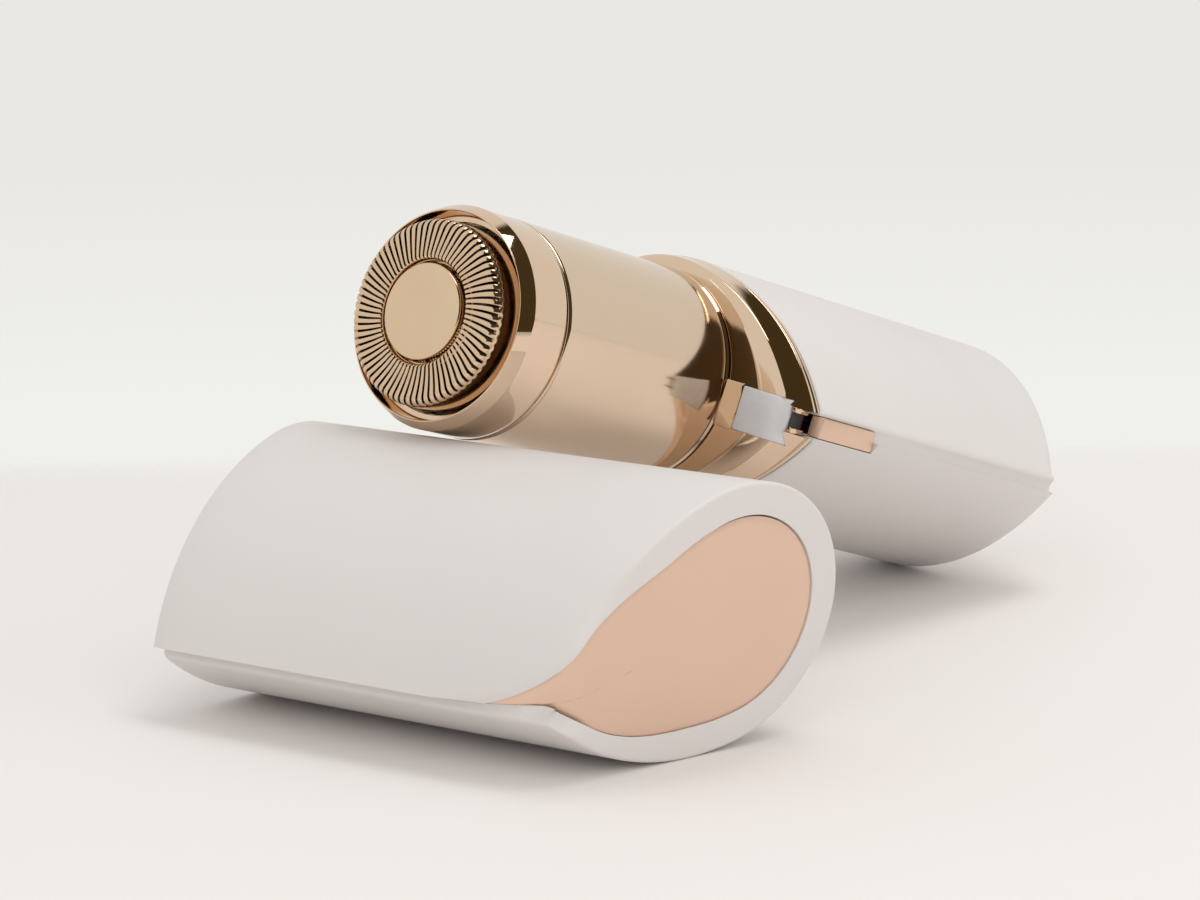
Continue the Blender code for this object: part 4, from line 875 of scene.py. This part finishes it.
def makeCollar():
    depth = collar["back"] - collar["front"]
    profile = (curveThrough(collar["shoulder"], 3) + curveThrough(collar["slope"], 4)
               + curveThrough(collar["flare"], 4) + curveThrough(collar["rim"], 3))
    base, back, skirtBack = barrel["radius"], collar["back"], collar["skirtBack"]
    rows = [(spot.x, 0, base, collar["front"] + depth * spot.y) for spot in profile]
    inset = collar["housingWall"] + collar["skirtGap"]
    skirtIn, bevel = inset + collar["skirtWall"], collar["skirtBevel"]
    rows += [(1, inset, base, back), (1, inset, base, skirtBack - bevel),
             (1, inset + bevel, base, skirtBack), (1, skirtIn, base, skirtBack), (1, skirtIn, base, back)]
    rows += [(0, 0, collar["neckInner"], back), (0, 0, collar["neckInner"], collar["neckFront"]),
             (0, 0, collar["neck"], collar["neckFront"]), (0, 0, collar["neck"], collar["front"]),
             (0, 0, base - bevel, collar["front"])]
    columns = 240
    reaches = []
    for i in range(columns):
        angle = 2 * math.pi * i / columns
        reaches.append((angle, sectionReach(angle)))

    def spotAt(column, row):
        angle, reach = reaches[column % columns]
        across, inset, base, station = rows[row % len(rows)]
        radius = base + across * (reach - inset - base)
        return Vector((radius * math.cos(angle), radius * math.sin(angle), station))

    piece = wrapGrid("shoulderCollar", columns, len(rows), spotAt)
    low, high = collar["lensX"]
    half, shift = collar["lensHalf"], collar["lensShift"]
    bossHalf, lap = half + collar["bossOver"], collar["bossLap"]
    boss = boxBetween("lensBoss",
                      (base + collar["bossIn"], shift - bossHalf, collar["front"] - collar["bossFront"]),
                      (low + lap, shift + bossHalf, back - lap))
    shape = editMesh(boss)
    for vert in shape.verts:
        if vert.co.x > low and vert.co.z < collar["front"]:
            vert.co.z += collar["bossFall"]
    bmesh.update_edit_mesh(boss.data)
    bpy.ops.mesh.select_all(action="SELECT")
    bpy.ops.mesh.bevel(offset=collar["bossBevel"], segments=2, profile=0.5, affect="EDGES")
    bpy.ops.object.mode_set(mode="OBJECT")
    cutWith(piece, boss, "UNION")
    gap, past = collar["windowGap"], section["cutPast"]
    window = boxBetween("lensWindow", (low - gap, shift - half - gap, collar["front"] - past),
                        (high + gap, shift + half + gap, back + bevel))
    cutWith(piece, window)
    slotHalf = collar["bar"] + collar["slotGap"]
    way = boxBetween("barWay", (collar["barLow"], -slotHalf, collar["front"] - past),
                     (section["tip"] + past, slotHalf, skirtBack + past))
    cutWith(piece, way)
    settle(piece, handMatrix)
    return dress(piece, finishes["roseGold"], "handle", ["shoulder_collar"], 32)


def makeLens():
    low, high = collar["lensX"]
    half, shift = collar["lensHalf"], collar["lensShift"]
    # a bar of a few steps across, whose face follows the shoulder a little proud of it
    face = collar["lensFace"]
    clearAll()
    bpy.ops.mesh.primitive_grid_add(x_subdivisions=len(face) - 1, y_subdivisions=1, size=1)
    lens = newPiece("lampLens")
    shape = editMesh(lens)
    for vert in shape.verts:
        share, fall = face[round((vert.co.x + 0.5) * (len(face) - 1))]
        side = half if vert.co.y > 0 else -half
        vert.co = (low + (high - low) * share, shift + side, collar["front"] + fall)
    raised = bmesh.ops.extrude_face_region(shape, geom=list(shape.faces))
    for vert in raised["geom"]:
        if isinstance(vert, bmesh.types.BMVert):
            vert.co.z = collar["back"]
    bmesh.update_edit_mesh(lens.data)
    bpy.ops.mesh.select_all(action="SELECT")
    bpy.ops.mesh.normals_make_consistent(inside=False)
    bpy.ops.mesh.select_all(action="DESELECT")
    shape = bmesh.from_edit_mesh(lens.data)
    for edge in shape.edges:
        if len(edge.link_faces) == 2 and edge.calc_face_angle(0) > 1.0:
            edge.select = True
    bmesh.update_edit_mesh(lens.data)
    bpy.ops.mesh.bevel(offset=collar["lensBevel"], segments=3, profile=0.5, affect="EDGES")
    bpy.ops.mesh.select_all(action="SELECT")
    bpy.ops.mesh.normals_make_consistent(inside=False)
    bpy.ops.object.mode_set(mode="OBJECT")
    settle(lens, handMatrix)
    return dress(lens, finishes["lensGrey"], "handle", ["light_lens"], 40)


def makeBarRails():
    # rails along both sides of the bar's way
    rails = []
    for side in (-1, 1):
        spots = sorted((side * collar["railIn"], side * (collar["bar"] + collar["railFit"])))
        rail = boxBetween("barRail", (collar["rail"][0], spots[0], collar["railFront"]),
                          (collar["rail"][1], spots[1], collar["back"] - collar["backGap"]),
                          collar["railBevel"], 2)
        rails.append(rail)
    clearAll()
    for rail in rails:
        rail.select_set(True)
    bpy.context.view_layer.objects.active = rails[0]
    bpy.ops.object.join()
    pair = newPiece("barRails")
    settle(pair, handMatrix)
    return dress(pair, finishes["roseGold"], "handle", (), 35)


def makeSlotShadeBlock():
    # a black block at the end of the bar's way, behind the lens: painted shade standing in for the
    # shadowed gap there
    low = collar["barLow"] + collar["shadeBlockGap"]
    half = collar["bar"] + collar["shadeBlockFit"]
    shadeBlock = boxBetween("slotShadeBlock", (low, -half, collar["railFront"] + collar["shadeBlockBack"]),
                      (collar["rail"][0] - collar["shadeBlockFront"], half, collar["back"] - collar["backGap"]))
    settle(shadeBlock, handMatrix)
    return dress(shadeBlock, finishes["mouldedBlack"], "handle")


makeBarrel()
makeCollar()
makeLens()
makeBarRails()
makeSlotShadeBlock()

# housing and switch bar
housing = {
    "front": 0.0397, "back": 0.0924, "slopeX": -0.358, "slopeY": -0.129, "floor": 0.002,
    "endRound": 0.0019, "edgeRound": 0.0004, "noseRound": 0.0012, "openRound": 0.0002,
    "wall": 0.0016, "middle": 0.002, "barBack": 0.0493, "barTop": 0.0220, "barHeight": 0.0016,
    "notchDeep": 0.0012, "notchSide": 0.00008, "notchBack": 0.00012, "barCorner": 0.3, "barEdge": 0.00016,
}


def housingEnd(spot):
    return housing["back"] + housing["slopeX"] * spot.x + housing["slopeY"] * spot.y


def makeHousing():
    columns = shellColumns()
    count = len(columns)
    profiles = []
    wallRows, roundRows = 16, 6
    for spot, way, kind in columns:
        end = housingEnd(spot)
        rim = housing["openRound"]
        rounding = housing["endRound"]
        inside = insetSpot(spot, way, housing["wall"])
        if kind in ("edge", "groove"):
            rounding = housing["edgeRound"]
            inside = innerCorner(housing["wall"])
        if kind == "nose":
            rounding = housing["noseRound"]
            inside = insetSpot(spot, way, housing["wall"] * 0.85)
        floorEnd = end - housing["floor"]
        rows = [Vector((inside.x, inside.y, floorEnd))]
        wallLong = housing["front"] + rim - floorEnd
        for k in range(1, 5):
            rows.append(Vector((inside.x, inside.y, floorEnd + wallLong * k / 4)))
        near = inside + (spot - inside) * 0.2
        rows.append(Vector((near.x, near.y, housing["front"])))
        outer = insetSpot(spot, way, rim)
        rows.append(Vector((outer.x, outer.y, housing["front"])))
        for k in range(wallRows + 1):
            t = k / wallRows
            start = housing["front"] + rim
            rows.append(Vector((spot.x, spot.y, start + (end - rounding * 1.25 - start) * t)))
        crease = Vector((spot.x, spot.y, end))
        innerEnd = insetSpot(spot, way, rounding)
        endPoint = Vector((innerEnd.x, innerEnd.y, housingEnd(innerEnd)))
        sidePoint = rows[-1]
        for k in range(1, roundRows + 1):
            t = k / roundRows
            rows.append(sidePoint * (1 - t) ** 2 + crease * 2 * t * (1 - t) + endPoint * t ** 2)
        profiles.append(rows)
    rowCount = len(profiles[0]) + 1
    middle = Vector((housing["middle"], 0))
    middleEnd = Vector((middle.x, 0, housingEnd(middle)))
    middleFloor = middleEnd - Vector((0, 0, housing["floor"]))

    def spotAt(column, row):
        if row == 0:
            return middleFloor
        if row == rowCount:
            return middleEnd
        return profiles[column % count][row - 1]

    sleeve = wrapGrid("housingSleeve", count, rowCount, spotAt)
    half = collar["bar"] + housing["notchSide"]
    past = section["cutPast"]
    low = housing["barTop"] - housing["barHeight"] - housing["notchDeep"]
    notch = boxBetween("barNotch", (low, -half, housing["front"] - past),
                       (section["tip"] + past, half, housing["barBack"] + housing["notchBack"]))
    cutWith(sleeve, notch)
    settle(sleeve, handMatrix)
    return dress(sleeve, finishes["shellWhite"], "housing", ["housing_sleeve"], 40)


def makeBar():
    half = collar["bar"]
    top, low = housing["barTop"], housing["barTop"] - housing["barHeight"]
    bar = boxBetween("switchBar", (low, -half, housing["front"]), (top, half, housing["barBack"]))
    editMesh(bar)
    bpy.ops.mesh.select_all(action="DESELECT")
    shape = bmesh.from_edit_mesh(bar.data)
    for edge in shape.edges:
        ends = [vert.co.z for vert in edge.verts]
        tall = abs(edge.verts[0].co.x - edge.verts[1].co.x) > 0.0005
        if min(ends) > housing["barBack"] - 0.0001 and tall:
            edge.select = True
    bmesh.update_edit_mesh(bar.data)
    bpy.ops.mesh.bevel(offset=half * housing["barCorner"], segments=5, profile=0.5, affect="EDGES")
    bpy.ops.mesh.select_all(action="SELECT")
    bpy.ops.mesh.bevel(offset=housing["barEdge"], segments=3, profile=0.5, affect="EDGES")
    bpy.ops.object.mode_set(mode="OBJECT")
    settle(bar, handMatrix)
    return dress(bar, finishes["satinRose"], "power_switch", ["switch_bar"], 35)


makeHousing()
makeBar()

# floor, light and background
studio = {
    "floor": (0.855, 0.822, 0.803), "wallLow": (0.875, 0.872, 0.838), "wallHigh": (0.815, 0.805, 0.775),
    "edge": 0.101, "soft": 0.022, "world": 0.74, "worldTint": (1, 0.99, 0.975),
    "horizon": (-0.165, -0.115), "dark": (0.060, 0.042, 0.017), "darkSide": (-0.24, -0.14),
    "darkFront": (-0.87, -0.80), "darkBack": (0.58, 0.68), "darkLean": 0.35,
    "lampTint": (1, 0.985, 0.965), "lampAim": (0, 0, 0.02),
    "floorRadius": 3, "floorRough": 0.7, "floorShine": 0.2,
}
softboxes = {
    "topSoftbox": {"place": (0.12, 0.14, 0.75), "size": (0.45, 0.30), "power": 1.5, "mirrored": True},
    "frontFill": {"place": (0.31, -0.38, 0.34), "size": (0.5, 0.35), "power": 0.5, "mirrored": False},
    "sideFill": {"place": (0.48, 0.16, 0.12), "size": (0.4, 0.2), "power": 0.18, "mirrored": False},
}


def smoothRange(tree, value, span, ends):
    node = tree.nodes.new("ShaderNodeMapRange")
    node.interpolation_type = "SMOOTHSTEP"
    node.inputs["From Min"].default_value, node.inputs["From Max"].default_value = span
    node.inputs["To Min"].default_value, node.inputs["To Max"].default_value = ends
    joinNodes(tree, value, node.inputs["Value"])
    return node.outputs["Result"]


def makeStage():
    clearAll()
    bpy.ops.mesh.primitive_circle_add(vertices=96, radius=studio["floorRadius"], fill_type="NGON")
    floor = newPiece("studioFloor")
    material = bpy.data.materials.new("floorPale")
    material.use_nodes = True
    tree = material.node_tree
    shader = tree.nodes["Principled BSDF"]
    shader.inputs["Roughness"].default_value = studio["floorRough"]
    shader.inputs["Specular IOR Level"].default_value = studio["floorShine"]
    shader.inputs["Base Color"].default_value = (*studio["floor"], 1)
    # the table ends softly some way behind the object, and the backdrop shows past it
    coords = tree.nodes.new("ShaderNodeTexCoord")
    along = tree.nodes.new("ShaderNodeVectorMath")
    along.operation = "DOT_PRODUCT"
    along.inputs[1].default_value = level
    joinNodes(tree, coords.outputs["Object"], along.inputs[0])
    span = (studio["edge"], studio["edge"] + studio["soft"])
    joinNodes(tree, smoothRange(tree, along.outputs["Value"], span, (1, 0)), shader.inputs["Alpha"])
    floor.data.materials.append(material)
    world = bpy.data.worlds.new("studioWorld")
    bpy.context.scene.world = world
    world.use_nodes = True
    tree = world.node_tree
    tree.nodes.clear()
    leave = tree.nodes.new("ShaderNodeOutputWorld")
    fill = tree.nodes.new("ShaderNodeBackground")
    fill.inputs["Color"].default_value = (*studio["worldTint"], 1)
    fill.inputs["Strength"].default_value = studio["world"]
    seen = tree.nodes.new("ShaderNodeBackground")
    seen.inputs["Strength"].default_value = 1
    skyCoords = tree.nodes.new("ShaderNodeTexCoord")
    split = tree.nodes.new("ShaderNodeSeparateXYZ")
    joinNodes(tree, skyCoords.outputs["Generated"], split.inputs[0])
    lift = tree.nodes.new("ShaderNodeMapRange")
    lift.inputs["From Min"].default_value, lift.inputs["From Max"].default_value = studio["horizon"]
    joinNodes(tree, split.outputs["Z"], lift.inputs["Value"])
    path = tree.nodes.new("ShaderNodeLightPath")
    # the dark side of the room, off to the tip's side, which only polished surfaces show
    ways = []
    aside = Vector(handPlace["tip"]) + Vector(handPlace["axis"]) * studio["darkLean"]
    for way in (aside, handPlace["axis"]):
        node = tree.nodes.new("ShaderNodeVectorMath")
        node.operation = "DOT_PRODUCT"
        node.inputs[1].default_value = way
        joinNodes(tree, skyCoords.outputs["Generated"], node.inputs[0])
        ways.append(node.outputs["Value"])
    darkShare = mathNode(tree, "MULTIPLY", smoothRange(tree, ways[1], studio["darkFront"], (0, 1)),
                         smoothRange(tree, ways[1], studio["darkBack"], (1, 0)))
    darkAside = smoothRange(tree, ways[0], studio["darkSide"], (0, 1))
    darkShare = mathNode(tree, "MULTIPLY", darkShare, darkAside)
    darkShare = mathNode(tree, "MULTIPLY", darkShare, path.outputs["Is Glossy Ray"])
    wall = mixColours(tree, lift.outputs["Result"], studio["wallLow"], studio["wallHigh"])
    joinNodes(tree, mixColours(tree, darkShare, wall, studio["dark"]), seen.inputs["Color"])
    share = mathNode(tree, "MAXIMUM", path.outputs["Is Camera Ray"], path.outputs["Is Glossy Ray"])
    share = mathNode(tree, "MAXIMUM", share, path.outputs["Is Transmission Ray"])
    mix = tree.nodes.new("ShaderNodeMixShader")
    joinNodes(tree, share, mix.inputs[0])
    joinNodes(tree, fill.outputs[0], mix.inputs[1])
    joinNodes(tree, seen.outputs[0], mix.inputs[2])
    joinNodes(tree, mix.outputs[0], leave.inputs["Surface"])


def addSoftbox(name, values):
    lamp = bpy.data.lights.new(name, "AREA")
    lamp.shape = "RECTANGLE"
    lamp.size, lamp.size_y = values["size"]
    lamp.energy = values["power"]
    lamp.color = studio["lampTint"]
    box = bpy.data.objects.new(name, lamp)
    bpy.context.scene.collection.objects.link(box)
    box.location = values["place"]
    box.rotation_mode = "QUATERNION"
    aim = Vector(studio["lampAim"]) - Vector(values["place"])
    box.rotation_quaternion = aim.to_track_quat("-Z", "Y")
    box.visible_glossy = values["mirrored"]


makeStage()
for name, values in softboxes.items():
    addSoftbox(name, values)
print("stage and light set")
